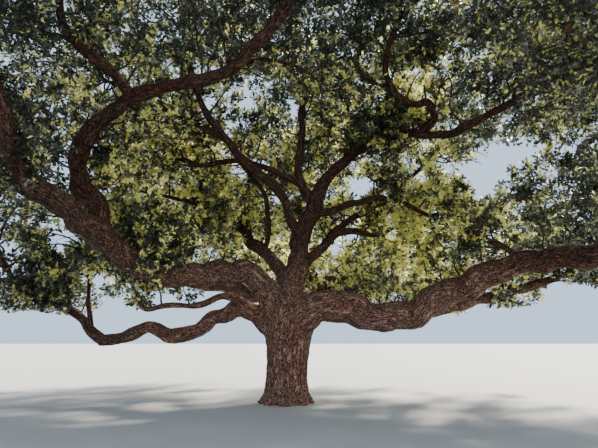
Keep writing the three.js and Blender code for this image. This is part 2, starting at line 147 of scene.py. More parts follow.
# Spacing of the rings of each kind of wood, and the corners of each ring
BOUGH_RINGS = (0.08, 28)
LIMB_RINGS = (0.04, 14)  # and more corners where the wood is thick
BRANCH_RINGS = (0.06, 10)
STEM_RINGS = (0.1, 10)
LIMB_FACE = 0.035  # width of a limb's faces
GRAIN_SPACING = 0.06
GRAIN_CHUNK = 4000  # places that are looked up together
BOUGH_GRAIN_GAP = 17.0  # from the grain of one piece of wood to the next, so that they differ
LIMB_GRAIN_GAP = 23.0
HEADING_STEP = 0.01
TWIG_HEADING_STEP = 0.02
UPRIGHT = 0.1  # a heading closer to straight up than this has no side of its own

# Every limb: its half thickness at root and tip, and the places that it passes through
LIMBS = {
    "leader": (0.34, 0.23, [
        (0.1, 0, 2.3), (0.19, 0, 3.1), (0.25, 0, 3.75), (0.38, 0, 4.4), (0.64, 0, 4.95), (0.9, 0, 5.8)]),
    "right_bough": (0.43, 0.2, [
        (0.1, -0.1, 2.1), (0.75, -0.3, 2.4), (1.75, -0.5, 2.36), (2.95, -0.7, 2.2), (3.55, -1.0, 2.37),
        (4.2, -1.5, 2.82), (4.95, -2.0, 3.25), (5.75, -2.7, 3.3), (6.5, -3.7, 3.35), (7.5, -4.5, 3.8),
        (8.1, -4.9, 4.4)]),
    "left_bough": (0.32, 0.27, [
        (-0.05, -0.05, 2.1), (-0.34, -0.25, 2.6), (-0.62, -0.55, 3.0), (-1.05, -0.85, 3.26),
        (-1.9, -1.6, 3.14), (-2.6, -2.15, 3.05), (-3.3, -2.8, 3.23), (-3.85, -3.6, 3.8)]),
    "low_left_bough": (0.26, 0.165, [
        (-0.2, 0, 1.72), (-0.75, 0, 2.2), (-1.3, 0.1, 2.5), (-1.85, 0.2, 2.28), (-2.35, 0.3, 1.96),
        (-3.15, 0.5, 1.74), (-3.95, 0.6, 1.88), (-4.8, 0.8, 1.65), (-5.45, 0.9, 1.57)]),
    "low_left_tip": (0.155, 0.09, [
        (-5.32, 0.88, 1.58), (-5.7, 0.9, 1.88), (-5.94, 0.8, 2.25), (-6.6, 0.64, 2.55), (-7.3, 0.5, 2.8)]),
    "low_left_riser": (0.085, 0.055, [
        (-5.74, 0.88, 1.95), (-5.8, 0.75, 2.5), (-5.7, 0.45, 2.95)]),
    "low_left_branch": (0.105, 0.055, [
        (-1.2, 0.05, 2.6), (-1.7, -0.12, 2.76), (-2.35, -0.25, 2.52), (-3.1, -0.5, 2.5), (-3.66, -0.8, 2.4),
        (-3.84, -1.05, 2.76)]),
    "left_front_limb": (0.24, 0.12, [
        (-3.72, -3.4, 3.6), (-3.98, -4.35, 3.95), (-4.21, -4.95, 4.13), (-4.39, -5.35, 4.34),
        (-4.45, -5.7, 4.64), (-4.45, -6.15, 5.25)]),
    "left_side_limb": (0.15, 0.09, [
        (-3.93, -4.3, 3.9), (-4.7, -4.4, 4.3), (-5.7, -4.1, 4.7), (-6.6, -3.9, 5.1)]),
    "arching_limb_rise": (0.22, 0.185, [
        (-3.8, -3.5, 3.7), (-3.88, -3.66, 4.3), (-4.2, -3.72, 4.8), (-4.32, -3.76, 5.25),
        (-4.18, -3.84, 5.8)]),
    "arching_limb_span": (0.18, 0.1, [
        (-4.24, -3.82, 5.64), (-3.95, -3.92, 6.12), (-3.22, -4.1, 6.44), (-2.2, -4.3, 6.76),
        (-1.1, -4.7, 6.85), (-0.4, -5.3, 7.1), (0.2, -5.9, 7.5)]),
    "arching_limb_side": (0.13, 0.08, [
        (-3.2, -4.1, 6.44), (-3.28, -4.6, 6.75), (-3.55, -5.2, 6.72), (-3.75, -5.7, 6.85)]),
    "right_under_bough": (0.19, 0.1, [
        (3.35, -0.85, 2.26), (4.3, -0.9, 2.47), (5.2, -0.8, 2.7), (6.4, -0.7, 2.95), (7.6, -0.6, 3.4)]),
    "right_riser": (0.17, 0.09, [
        (7.05, -4.15, 3.58), (6.95, -4.5, 4.2), (6.7, -5.0, 4.75), (6.3, -5.5, 5.2)]),
    "right_stub": (0.09, 0.055, [
        (5.5, -2.5, 3.3), (5.2, -2.3, 3.66), (4.89, -2.05, 3.92), (4.67, -1.9, 4.1)]),
    "right_spur": (0.17, 0.075, [
        (0.3, 0.03, 3.5), (0.78, 0.3, 4.05), (1.2, 0.5, 4.44), (1.55, 0.7, 4.72), (2.0, 0.95, 4.84),
        (2.6, 1.3, 4.8)]),
    "right_spur_upper": (0.12, 0.075, [
        (1.1, 0.45, 4.36), (1.55, 0.6, 4.9), (2.15, 0.85, 5.3), (3.0, 1.2, 5.85), (3.9, 1.6, 6.7)]),
    "right_mid_limb": (0.13, 0.06, [
        (0.7, 0, 5.08), (1.33, -0.2, 5.22), (1.9, -0.42, 5.34), (2.55, -0.7, 5.42), (3.1, -0.95, 5.2),
        (3.5, -1.15, 4.9)]),
    "top_right_limb": (0.2, 0.09, [
        (0.86, 0, 5.68), (1.16, -0.08, 6.2), (1.55, -0.2, 6.56), (1.84, -0.3, 6.95), (1.85, -0.45, 7.7),
        (1.6, -0.6, 8.5)]),
    "top_centre_limb": (0.15, 0.08, [
        (0.78, 0, 5.42), (0.5, 0.02, 5.9), (0.34, 0, 6.5), (0.42, -0.05, 7.4), (0.4, -0.1, 8.3),
        (0.45, 0, 9.2)]),
    "top_left_limb": (0.15, 0.09, [
        (0.38, 0, 4.4), (0.0, -0.2, 5.05), (-0.22, -0.4, 5.65), (-1.1, -0.75, 6.4), (-1.7, -1.0, 6.96),
        (-2.25, -1.2, 7.7), (-2.5, -1.5, 8.3)]),
    "top_left_fork": (0.1, 0.07, [
        (-1.8, -1.03, 7.1), (-2.5, -0.9, 7.45), (-3.1, -0.7, 7.85), (-3.9, -0.4, 8.4)]),
    "crossing_limb": (0.1, 0.06, [
        (0.45, 0, 5.99), (-0.29, -0.1, 6.35), (-0.87, -0.15, 6.58), (-1.47, -0.1, 6.73), (-2.65, 0.2, 6.72),
        (-3.26, 0.4, 6.96), (-3.81, 0.6, 7.04), (-4.35, 0.8, 7.53)]),
    "crooked_limb": (0.14, 0.08, [
        (1.75, -0.28, 6.8), (2.38, -1.0, 6.92), (3.0, -1.7, 6.86), (3.5, -2.2, 6.58), (3.9, -2.6, 6.45),
        (4.7, -3.3, 6.6), (5.5, -3.9, 6.9)]),
    "crooked_hook": (0.11, 0.075, [
        (3.4, -2.1, 6.64), (3.68, -2.35, 7.02), (3.5, -2.65, 7.24), (3.1, -2.8, 7.1), (2.72, -3.05, 7.1),
        (2.42, -3.3, 7.4)]),
    "back_left_limb": (0.24, 0.11, [
        (0.15, 0.05, 2.95), (-0.5, 0.45, 3.9), (-1.0, 0.85, 4.42), (-1.5, 1.4, 5.0), (-2.4, 2.3, 5.8),
        (-3.3, 3.0, 6.6)]),
    "back_low_limb": (0.27, 0.1, [
        (-0.15, 0.2, 2.1), (-0.7, 0.95, 2.75), (-1.9, 2.2, 3.2), (-3.4, 3.3, 3.5), (-5.0, 4.2, 4.2)]),
    "back_bough": (0.3, 0.12, [
        (0.1, 0.2, 2.1), (0.3, 1.0, 2.8), (0.1, 2.5, 3.3), (-0.4, 4.3, 3.7), (-0.5, 6.0, 4.6)]),
    "back_right_limb": (0.18, 0.1, [
        (0.25, 1.5, 3.0), (1.3, 2.9, 3.6), (2.7, 4.1, 3.9), (4.0, 5.2, 4.5)]),
    "right_back_bough": (0.27, 0.1, [
        (0.25, 0.15, 2.1), (1.0, 0.75, 2.85), (2.5, 1.6, 3.1), (4.4, 2.4, 3.4), (6.3, 3.1, 4.2)]),
    "back_top_limb": (0.16, 0.08, [
        (0.5, 0.03, 4.65), (0.7, 0.8, 5.6), (0.6, 1.7, 6.6), (0.7, 2.7, 7.7)]),
    "rising_branch": (0.09, 0.05, [
        (-0.72, 0.62, 4.14), (-0.59, 0.45, 4.52), (-0.59, 0.3, 5.25), (-0.74, 0.15, 5.85), (-1.15, 0, 6.36),
        (-1.53, -0.1, 6.82)]),
    "level_branch": (0.1, 0.03, [
        (-1.45, 1.35, 4.95), (-2.3, 1.6, 5.64), (-3.14, 1.65, 5.96), (-4.05, 1.55, 6.16),
        (-4.56, 1.4, 6.22), (-5.18, 1.2, 6.36)]),
    "parallel_branch": (0.06, 0.02, [
        (-1.1, -4.7, 6.85), (-0.67, -4.55, 7.12), (-0.22, -4.35, 7.3), (0.29, -4.15, 7.26),
        (0.72, -3.95, 7.07), (0.88, -3.75, 6.87)]),
}

# These are too thin for solids of their own: they belong to the masses that hide their tips
BRANCHES = ("rising_branch", "level_branch", "parallel_branch")

COLLAR_SWELL = 0.22  # of the half thickness at a limb's root
COLLAR_FADE = 1.6  # half thicknesses along the limb
CROOKEDNESS = 0.35  # how far a limb sways off its line, in half thicknesses
CROOK_LENGTH = 0.55
KNOBBLINESS = 0.1  # how much it swells and narrows
KNOB_LENGTH = 0.4
LIMB_SEED = 7.3  # steps through the noise, from limb to limb and from use to use
AXIS_SEED = 31
KNOB_SEED = 131
NOISE_LAYER = 0.5

# The limbs that leave the trunk are one skin with it
BOUGHS = ("leader", "right_bough", "left_bough", "low_left_bough", "back_low_limb", "back_bough",
          "right_back_bough", "back_left_limb")

# Every mass of foliage: the limb that feeds it, its middle, its half sizes and its part of the crown
MASSES = {
    "low_left_foliage": ("low_left_tip", (-8.6, 0.4, 4.3), (2.8, 3.1, 2.0), "left"),
    "low_left_riser_foliage": ("low_left_riser", (-5.6, -0.3, 4.3), (2.0, 2.0, 1.4), "left"),
    "low_left_branch_foliage": ("low_left_branch", (-3.9, -0.2, 4.4), (1.7, 1.6, 1.4), "left"),
    "left_side_foliage": ("left_side_limb", (-8.3, -4.0, 6.2), (3.0, 3.0, 2.3), "left"),
    "left_front_foliage": ("left_front_limb", (-6.2, -7.2, 6.9), (3.1, 3.0, 2.3), "front_left"),
    "front_left_foliage": ("arching_limb_side", (-2.9, -7.3, 8.4), (2.9, 2.7, 2.0), "front_left"),
    "front_foliage": ("arching_limb_span", (1.0, -7.8, 8.5), (2.9, 2.6, 2.0), "front_right"),
    "front_right_foliage": ("right_riser", (4.9, -7.5, 6.4), (3.0, 2.8, 2.3), "front_right"),
    "right_front_foliage": ("right_bough", (9.0, -5.2, 5.7), (3.0, 3.0, 2.2), "right"),
    "right_foliage": ("right_under_bough", (9.4, -0.4, 5.2), (2.9, 3.3, 2.3), "right"),
    "right_stub_foliage": ("right_stub", (4.9, -2.5, 5.2), (1.8, 1.8, 1.2), "right"),
    "right_mid_foliage": ("right_mid_limb", (4.4, -0.5, 4.7), (1.9, 1.7, 1.4), "right"),
    "right_spur_foliage": ("right_spur", (3.9, 2.0, 5.4), (2.3, 2.1, 1.6), "right"),
    "right_upper_foliage": ("right_spur_upper", (5.8, 2.0, 8.3), (3.1, 3.2, 2.2), "upper_right"),
    "top_right_foliage": ("top_right_limb", (3.0, -1.6, 10.3), (3.1, 2.9, 2.2), "upper_right"),
    "top_centre_foliage": ("top_centre_limb", (0.0, 1.2, 11.2), (3.3, 3.2, 2.0), "top"),
    "top_left_foliage": ("top_left_limb", (-2.8, -2.6, 10.2), (3.1, 3.1, 2.2), "top"),
    "left_upper_foliage": ("top_left_fork", (-5.9, -0.8, 9.0), (3.0, 3.2, 2.2), "top"),
    "crooked_foliage": ("crooked_limb", (7.0, -3.6, 8.3), (3.0, 2.9, 2.2), "upper_right"),
    "hook_foliage": ("crooked_hook", (3.3, -5.3, 9.2), (2.9, 2.6, 1.9), "front_right"),
    "back_left_foliage": ("back_left_limb", (-4.8, 3.9, 8.3), (3.2, 3.1, 2.3), "back"),
    "back_low_foliage": ("back_low_limb", (-7.3, 4.9, 5.2), (3.2, 3.2, 2.2), "back"),
    "back_foliage": ("back_bough", (-1.4, 8.0, 5.9), (3.6, 3.1, 2.5), "back"),
    "back_right_foliage": ("back_right_limb", (4.7, 7.3, 5.7), (3.4, 3.1, 2.4), "back"),
    "right_back_foliage": ("right_back_bough", (8.4, 4.2, 5.5), (3.1, 3.2, 2.3), "right"),
    "back_top_foliage": ("back_top_limb", (0.6, 5.2, 9.3), (3.4, 3.1, 2.3), "back"),
}

# Leafy sprays straight on the limbs: the limb, the shares of its length between which they grow, how many,
# their length, how far they lean back from the photographer, how far they rise, and their part of the crown
LIMB_SPRAYS = [
    ("leader", 0.5, 1.0, 8, 1.3, 0.7, 0.35, "top"),
    ("right_bough", 0.52, 0.98, 16, 1.4, 0.6, 0.35, "right"),
    ("right_bough", 0.16, 0.5, 12, 1.3, 1.3, 0.5, "right"),
    ("left_bough", 0.45, 1.0, 10, 1.3, 0.8, 0.35, "left"),
    ("left_bough", 0.6, 0.84, 16, 0.9, -1.0, 0.15, "left"),
    ("low_left_tip", 0.4, 1.0, 8, 1.0, 0.2, 0.2, "left"),
    ("low_left_tip", 0.5, 1.0, 12, 0.7, -0.9, 0.1, "left"),
    ("low_left_branch", 0.5, 1.0, 6, 0.9, 0.3, 0.35, "left"),
    ("left_front_limb", 0.1, 1.0, 14, 1.5, 0.3, 0.35, "front_left"),
    ("left_front_limb", 0.42, 0.7, 12, 0.8, -0.9, 0.15, "front_left"),
    ("left_side_limb", 0.1, 1.0, 12, 1.5, 0.2, 0.35, "left"),
    ("arching_limb_rise", 0.3, 1.0, 7, 1.4, 0.6, 0.35, "left"),
    ("arching_limb_rise", 0.0, 1.0, 16, 1.9, 1.2, 0.2, "left"),
    ("left_bough", 0.75, 1.0, 8, 2.0, 1.4, 0.8, "left"),
    ("arching_limb_span", 0.1, 1.0, 18, 1.5, 0.5, 0.35, "front_left"),
    ("arching_limb_side", 0.2, 1.0, 8, 1.2, 0.2, 0.35, "front_left"),
    ("right_under_bough", 0.3, 1.0, 14, 1.4, 0.3, 0.35, "right"),
    ("right_under_bough", 0.35, 0.9, 10, 0.7, -0.7, 0.1, "right"),
    ("right_riser", 0.3, 1.0, 6, 1.2, 0.2, 0.35, "front_right"),
    ("right_stub", 0.4, 1.0, 4, 0.9, 0.3, 0.35, "right"),
    ("right_spur", 0.35, 1.0, 12, 1.4, 0.5, -0.1, "right"),
    ("right_spur_upper", 0.2, 1.0, 14, 1.6, 0.6, 0.35, "upper_right"),
    ("right_mid_limb", 0.4, 1.0, 8, 1.1, 0.7, 0.35, "right"),
    ("top_right_limb", 0.2, 1.0, 14, 1.7, 0.5, 0.35, "upper_right"),
    ("top_centre_limb", 0.2, 1.0, 16, 1.7, 0.6, 0.35, "top"),
    ("top_left_limb", 0.25, 1.0, 20, 1.7, 0.6, 0.35, "top"),
    ("top_left_fork", 0.1, 1.0, 12, 1.5, 0.5, 0.35, "top"),
    ("crossing_limb", 0.3, 1.0, 14, 1.3, 0.4, 0.35, "top"),
    ("crooked_limb", 0.2, 1.0, 16, 1.5, 0.5, 0.35, "upper_right"),
    ("crooked_limb", 0.02, 0.4, 14, 1.2, -0.7, 0.1, "upper_right"),
    ("crooked_limb", 0.02, 0.36, 18, 0.75, -1.3, -0.1, "upper_right"),
    ("crooked_hook", 0.2, 1.0, 14, 1.3, 0.4, 0.6, "upper_right"),
    ("back_left_limb", 0.25, 1.0, 22, 1.9, 0.4, 0.35, "back"),
    ("back_left_limb", 0.42, 0.9, 16, 1.1, -0.9, 0.15, "back"),
    ("back_low_limb", 0.35, 1.0, 16, 1.6, 0.3, 0.35, "back"),
    ("back_bough", 0.3, 1.0, 22, 1.7, 0.2, 0.0, "back"),
    ("back_right_limb", 0.2, 1.0, 16, 1.6, 0.1, -0.1, "back"),
    ("right_back_bough", 0.2, 0.8, 22, 1.3, -0.2, -0.3, "right"),
    ("right_back_bough", 0.1, 0.4, 9, 0.8, -0.6, 0.1, "right"),
    ("back_bough", 0.12, 0.4, 7, 0.8, -0.4, 0.2, "back"),
    ("back_top_limb", 0.15, 1.0, 20, 2.0, 0.4, 0.35, "back"),
    ("arching_limb_span", 0.5, 1.0, 12, 2.2, 0.2, 1.4, "front_left"),
    ("rising_branch", 0.6, 1.0, 6, 0.9, 0.4, 0.4, "back"),
    ("level_branch", 0.5, 1.0, 9, 1.0, 0.3, 0.3, "left"),
    ("level_branch", 0.08, 0.5, 12, 0.9, 0.3, -0.5, "left"),
    ("parallel_branch", 0.5, 1.0, 8, 0.9, 0.3, 0.4, "front_left"),
    ("right_mid_limb", 0.48, 0.74, 8, 0.5, -1.2, -0.1, "right"),
    ("crossing_limb", 0.55, 1.0, 10, 1.2, 0.5, 0.9, "top"),
]
SPRAY_SIZE = 1.6  # its side twigs are as long as those of a mass of this half size

MIDDLES = np.array([mass[1] for mass in MASSES.values()])
HALVES = np.array([mass[2] for mass in MASSES.values()])
REGIONS = ("left", "front_left", "front_right", "right", "upper_right", "top", "back")

SPACE_OVERLAP = 0.08  # of a mass's half size, how far twigs of neighbours mingle
LOWEST_LEAF = 2.35
WOOD_MARGIN = 0.03
TWIG_REACH = 1.04  # of the mass's half size
LEAF_REACH = 1.1
BOX_MARGIN = 0.25  # how far a twig's tip may pass the box of the solids
STEM_TIP = 0.034
STEM_BEYOND = 0.25  # how far past its mass's middle a stem runs, as a share of its way there
STEM_RISE = 0.3  # of the mass's half height
STEM_END_BEND = 0.2
STEM_OVERLAP = 0.03
STEM_STEPS = 60
SHORT_STEMS = {"right_stub_foliage": 0.4}  # stems that stop short, and at which share of their length
LOW_MASSES = 13  # so many of the masses, the first ones, have their twigs in the piece for the low ones

# The camera stands where the photographer did
CAMERA_PLACE = (0.33, -13.0, 1.6)
CAMERA_PITCH = math.radians(13.98)
IMAGE_WIDTH = 598
IMAGE_HEIGHT = 448
FOCAL_PIXELS = 466.0
SENSOR_WIDTH = 36.0
NEAREST_SEEN = 0.1  # in front of the camera
NEAREST_OPENING = 0.5
SIGHT_STEP = 0.05  # along a limb, where it is looked up in the image
FARTHEST_SEEN = 1000

# Openings where the sky shows through the crown: the middle and half size of each, in pixels
SKY_OPENINGS = [
    (490, 170, 36, 44), (516, 206, 18, 12), (360, 187, 23, 16), (352, 236, 13, 9), (430, 230, 8, 8),
    (270, 86, 11, 8), (107, 85, 13, 9), (444, 162, 14, 16), (277, 237, 9, 8), (479, 105, 11, 8),
    (450, 127, 8, 5), (62, 234, 30, 25), (66, 170, 9, 8), (173, 72, 12, 8), (117, 50, 10, 9),
    (549, 204, 8, 5), (252, 161, 11, 5), (276, 197, 5, 10), (168, 98, 10, 6), (292, 112, 7, 7),
    (573, 300, 36, 26),
]
OPENING_FRAY = 0.45  # how far twigs straggle into an opening

# Places inside the crown where leaves catch the sun or lie in shade: middle and half size of each, in
# pixels, and how much lighter its leaves are
LIT_PLACES = [
    (80, 86, 18, 14, 0.6), (561, 36, 10, 5, 0.4), (579, 31, 8, 5, 0.4), (532, 28, 13, 6, 0.35),
    (572, 122, 26, 28, 0.15), (495, 58, 16, 10, 0.7), (415, 88, 18, 24, 0.9), (165, 193, 28, 10, 0.6),
    (190, 180, 46, 34, 0.2), (252, 195, 28, 30, 0.2), (247, 240, 14, 10, 0.5), (432, 182, 20, 24, 0.5),
    (412, 222, 16, 28, 0.5), (420, 266, 28, 16, 0.2), (345, 243, 34, 30, 0.05),
    (392, 184, 20, 26, -0.55), (265, 28, 110, 42, -0.55), (262, 108, 44, 30, -0.25),
    (470, 30, 70, 26, -0.15), (112, 190, 22, 30, 0.25), (485, 242, 38, 20, -0.35),
    (485, 112, 40, 34, -0.5), (25, 130, 30, 40, -0.2), (110, 25, 55, 26, -0.2),
    (345, 150, 24, 30, -0.2), (35, 262, 50, 34, -0.25), (378, 118, 40, 56, -0.1),
    (555, 190, 44, 36, -0.65), (560, 252, 40, 18, -0.5), (565, 22, 50, 34, 0.2), (30, 30, 40, 34, -0.3),
    (160, 240, 40, 24, -0.3),
]
LIT_EDGE = (0.7, 1.3)  # of a place's half size, where its light fades

# Places where foliage hangs before the limbs: the middle and half size of each, in pixels
COVERED_PLACES = [
    (155, 264, 20, 17), (378, 142, 30, 28), (36, 176, 20, 16), (92, 128, 9, 8), (220, 215, 27, 17),
    (16, 280, 32, 32), (394, 202, 9, 10),
]

# The limbs that the photographer sees plainly, and up to which share of their length. Few leaves hang
# before them
CLEAR_LIMBS = {
    "leader": 1, "right_bough": 1, "left_bough": 0.95, "low_left_bough": 1, "low_left_tip": 0.4,
    "low_left_riser": 0.8, "low_left_branch": 0.9, "left_front_limb": 0.7, "arching_limb_rise": 0.9,
    "arching_limb_span": 0.95, "arching_limb_side": 0.8, "right_riser": 0.5, "right_spur": 0.8,
    "right_mid_limb": 0.9, "top_right_limb": 0.5, "top_centre_limb": 0.7, "top_left_limb": 1,
    "crooked_limb": 0.9, "crooked_hook": 0.9, "crossing_limb": 0.6, "back_left_limb": 0.4, "right_stub": 0.9,
    "right_spur_upper": 0.35, "rising_branch": 0.95, "level_branch": 0.75, "parallel_branch": 0.9,
}
CLEAR_WIDTH = 0.95  # of the limb's own
CROSSING_SHARE = 0.14  # of the twigs, that cross a limb all the same
CROSSING_PLACES = (0.3, 0.55, 0.8, 1.0)  # along a twig, where it is looked at
LONG_WAVES = 2  # half waves of a twig's sway along it
SHORT_WAVES = 5
LONG_CROOK = 0.04  # of a twig's length, how far it sways in long waves and in short ones
SHORT_CROOK = 0.016
SLIMMEST = 0.55  # of a twig's thickness, near the photographer

# Half thickness at root and tip, corners and lengths of twigs, side twigs and shoots
TWIG_TUBES = ((0.034, 0.009, 5, 9), (0.009, 0.004, 3, 3), (0.0045, 0.002, 3, 1))
TWIG_LINE_SPACING = 0.12  # of the places on the limbs that twigs keep off
TWIG_NEARBY = 0.3  # outside a mass, where limbs still count

# Twigs of a mass. Amounts by chance are standard deviations, and the rest are shares of a twig's length
TWIG_ROOT = 0.12  # share of the stem where twigs start
TWIG_ROOTS_SPAN = 0.85
TWIG_ROOT_CHANCE = 0.2
TWIG_LENGTHS = (0.55, 0.93)  # of the mass's half size
TWIG_TRIALS = (1.0, 0.8, 0.6)  # shorter and shorter where there is no room
TWIG_ARCH = 0.1
TWIG_BEND_CHANCE = 0.12

# Sprays on a limb
SPRAY_ROOT_CHANCE = 0.02
SPRAY_ROOTS = (0.05, 0.99)  # shares of the limb
SPRAY_LENGTHS = (0.7, 1.2)
SPRAY_ALONG = 0.35
SPRAY_ARCH = 0.06
SPRAY_BEND_CHANCE = 0.07
SPRAY_DROP = 0.2  # how far below its root a spray may end
SPRAY_SEED = 500
SPRAY_FEWER_BOUGHLETS = 3
SPRAY_FEWER_SHOOTS = 1

# Side twigs and shoots: first place on their parent, length by the mass's half size and added to it, how far
# they spread and how far they rise
SIDE_TWIGS = (0.28, 0.27, 0.0, 0.95, 0.12)
SPRAY_SIDE_TWIGS = (0.25, 0.27, 0.0, 0.95, 0.12)
SHOOTS = (0.2, 0.1, 0.04, 0.8, 0.08)
SIDE_ROOT_CHANCE = 0.03
SIDE_FIRST = 0.05
SIDE_END = (0.93, 0.2)  # past this share of its parent a side twig spreads only so far
SIDE_TURN_CHANCE = 0.14
SIDE_LENGTHS = (0.72, 1.25)
SIDE_SHORTER = 0.55
SIDE_BEND_CHANCE = 0.11
FLAT_SIDE = 0.05  # a twig's heading closer to straight up than this has no side of its own

# Corners of a leaf, folded along its middle: along it, across it in half widths, and rise
LEAF_OUTLINE = np.array([(0.0, 0.0, 0.0), (0.48, -1.0, 0.05), (1.0, 0.0, -0.06), (0.52, 1.0, 0.05)])
LEAF_FACES = np.array([0, 3, 2, 0, 2, 1])

# Near the photographer the growth is finer and closer to life: distances, and shares of the leaf's length
NEAR_DISTANCES = (5, 9, 13, 18, 26)
NEAR_SIZES = (0.42, 0.62, 0.85, 1.12, 1.5)
TINT_STEPS = (0.25, 0.62, 1.0, 4.0)  # from one tint to the next, the last one to russet
LEAF_VARIETY = 0.42  # how much the leaves of a shoot differ by chance
RUSSET_SHARE = 0.004
RUSSET_PLACES = [((-0.33, -0.93, 6.08), 0.55), ((3.58, 1.96, 3.57), 0.4)]  # where leaves have turned
LEAF_BANDS = 4  # groups of shoots by distance, each with its own number of leaves
LEAF_SEED = 1000
LEAF_ROOTS = (0.1, 0.02)  # share of its shoot where the first leaf grows, and the least with chance
LEAF_ROOT_CHANCE = 0.04
LEAF_SPREAD = 0.95
LEAF_END = (0.95, 0.25)  # past this share of its shoot a leaf spreads only so far
LEAF_TURN_CHANCE = 0.32
LEAF_FACE_UP = 0.6  # how strongly leaves face the sky, beside chance
LEAF_FACE_CHANCE = 0.6
LEAF_LENGTHS = (0.65, 1.25)

# How much faster than their size the numbers of boughlets, shoots and leaves change with distance
BOUGHLET_POWER = 0.5
SHOOT_POWER = 0.6
LEAF_POWER = 0.9

# How many more twigs than the rest these masses carry
FULLER = {
    "crooked_foliage": 1.6, "hook_foliage": 1.5, "front_foliage": 1.3, "front_right_foliage": 1.3,
    "right_upper_foliage": 1.2, "left_front_foliage": 1.3, "right_back_foliage": 0.85,
    "right_foliage": 1.25, "back_right_foliage": 0.7, "right_spur_foliage": 0.85,
    "right_mid_foliage": 0.85, "low_left_branch_foliage": 1.4, "low_left_riser_foliage": 1.25,
    "back_left_foliage": 1.15, "left_upper_foliage": 1.25, "left_side_foliage": 1.15,
}

# Painted light: how much lighter than the rest the leaves of these masses and limbs are on their inner side,
# as where the sun shines through, or darker all over as painted shade
PAINTED_LIGHT_SHIFTS = {
    "right_mid_foliage": 0.3, "right_spur_foliage": 0.3, "right_stub_foliage": 0.15, "right_bough": 0.15,
    "right_spur": 0.3, "right_mid_limb": 0.3, "right_under_bough": 0.05, "right_back_bough": 0.25,
    "back_right_foliage": 0.45, "back_right_limb": 0.4, "right_back_foliage": 0.05, "right_spur_upper": 0.2,
    "right_upper_foliage": 0.1, "back_foliage": 0.45, "back_bough": 0.45, "back_left_limb": 0.1,
    "back_low_limb": 0.1, "low_left_branch_foliage": -0.1, "left_bough": -0.1, "low_left_foliage": 0.05,
    "top_left_limb": 0.1, "front_right_foliage": 0.05, "hook_foliage": -0.3, "front_foliage": -0.25,
    "crooked_foliage": -0.15, "crooked_hook": -0.2, "arching_limb_span": -0.1, "top_right_foliage": -0.1,
    "crooked_limb": -0.3, "right_foliage": -0.2, "right_front_foliage": -0.2,
}
CROWN_HALVES = (11.2, 10.0, 7.6)  # of the whole crown, about a middle at CROWN_MIDDLE
CROWN_MIDDLE = (0.0, 0.0, 5.2)
# Painted light: leaves inside the crown are lighter, as where the sun shines through them, and those on its
# outside darker, as in shade
INNER_LIGHT = 0.62
OUTER_LIGHT = 0.22
PATCH_SIZE = 0.27  # of patches of painted sunlight and shade on the leaves
PATCH_LIGHT = 0.35
PATCH_LIGHT_INSIDE = 2.1
SHOOT_LIGHT = 0.28  # how much shoots differ by chance
INNER_REACH = (0.5, 0.85)  # shares of the crown's half sizes between which its inside turns to its outside

TWIG_ROUGHNESS = 0.85
LEAF_ROUGHNESS = 0.34
LEAF_SHINE = 0.55
GLOW_TINT = (2.1, 2.2, 1.5)  # how much lighter than its face a leaf is where light comes through
TINTS = {  # materials of the leaves, and the settings with their colours
    "leaf_deep": "deep_green", "leaf_dull": "dull_green", "leaf_olive": "olive_green",
    "leaf_bright": "bright_green", "leaf_russet": "russet",
}
FLOOR_ROUGHNESS = 0.9
SUN_COLOUR = (1.0, 0.93, 0.80)
FILL_COLOUR = (1.0, 0.97, 0.93)
FILL_SOFTNESS = math.radians(80)
FILL_BEARING = math.radians(165)
FILL_ELEVATION = math.radians(22)


def colour_setting(name, description, default):
    """A colour that the maker can change"""
    return FloatVectorProperty(name=name, description=description, subtype="COLOR", size=3, default=default,
                               min=0, max=1)


def length_setting(name, description, default, least):
    """A length that the maker can change"""
    return FloatProperty(name=name, description=description, default=default, min=least, unit="LENGTH")


class OakWood(bpy.types.PropertyGroup):
    """Bark of the trunk, boughs and twigs"""

    skin: length_setting("Skin Mesh", "Size of the faces of the trunk and boughs", 0.045, 0.02)
    furrow_depth: length_setting("Furrow Depth", "Depth of the furrows in the trunk's bark", 0.016, 0)
    furrow_spacing: length_setting("Furrow Spacing", "Width of a ridge of bark", 0.06, 0.01)
    swelling: length_setting("Swelling", "Height of the broad lumps of old wood", 0.022, 0)
    # Partly painted shade: the dark furrow bark also stands in for the shade that falls in the furrows
    furrow_bark_and_shade_colour: colour_setting("Furrow", "Bark deep in a furrow", (0.040, 0.023, 0.016))
    ridge_colour: colour_setting("Ridge", "Bark on a ridge", (0.310, 0.184, 0.136))
    weathered_colour: colour_setting("Weathered", "Pale weathered bark", (0.61, 0.41, 0.32))
    red_colour: colour_setting("Warmth", "Tint of the redder stretches of bark", (1.0, 0.76, 0.62))
    # Painted shade: the bark is tinted darker far from the trunk and up in the crown, where the crown's shade
    # falls
    crown_shade_colour: colour_setting("Aloft", "Tint of the darker bark up in the crown", (0.34, 0.31, 0.30))
    twig_colour: colour_setting("Twig", "Bark of the twigs", (0.024, 0.017, 0.013))


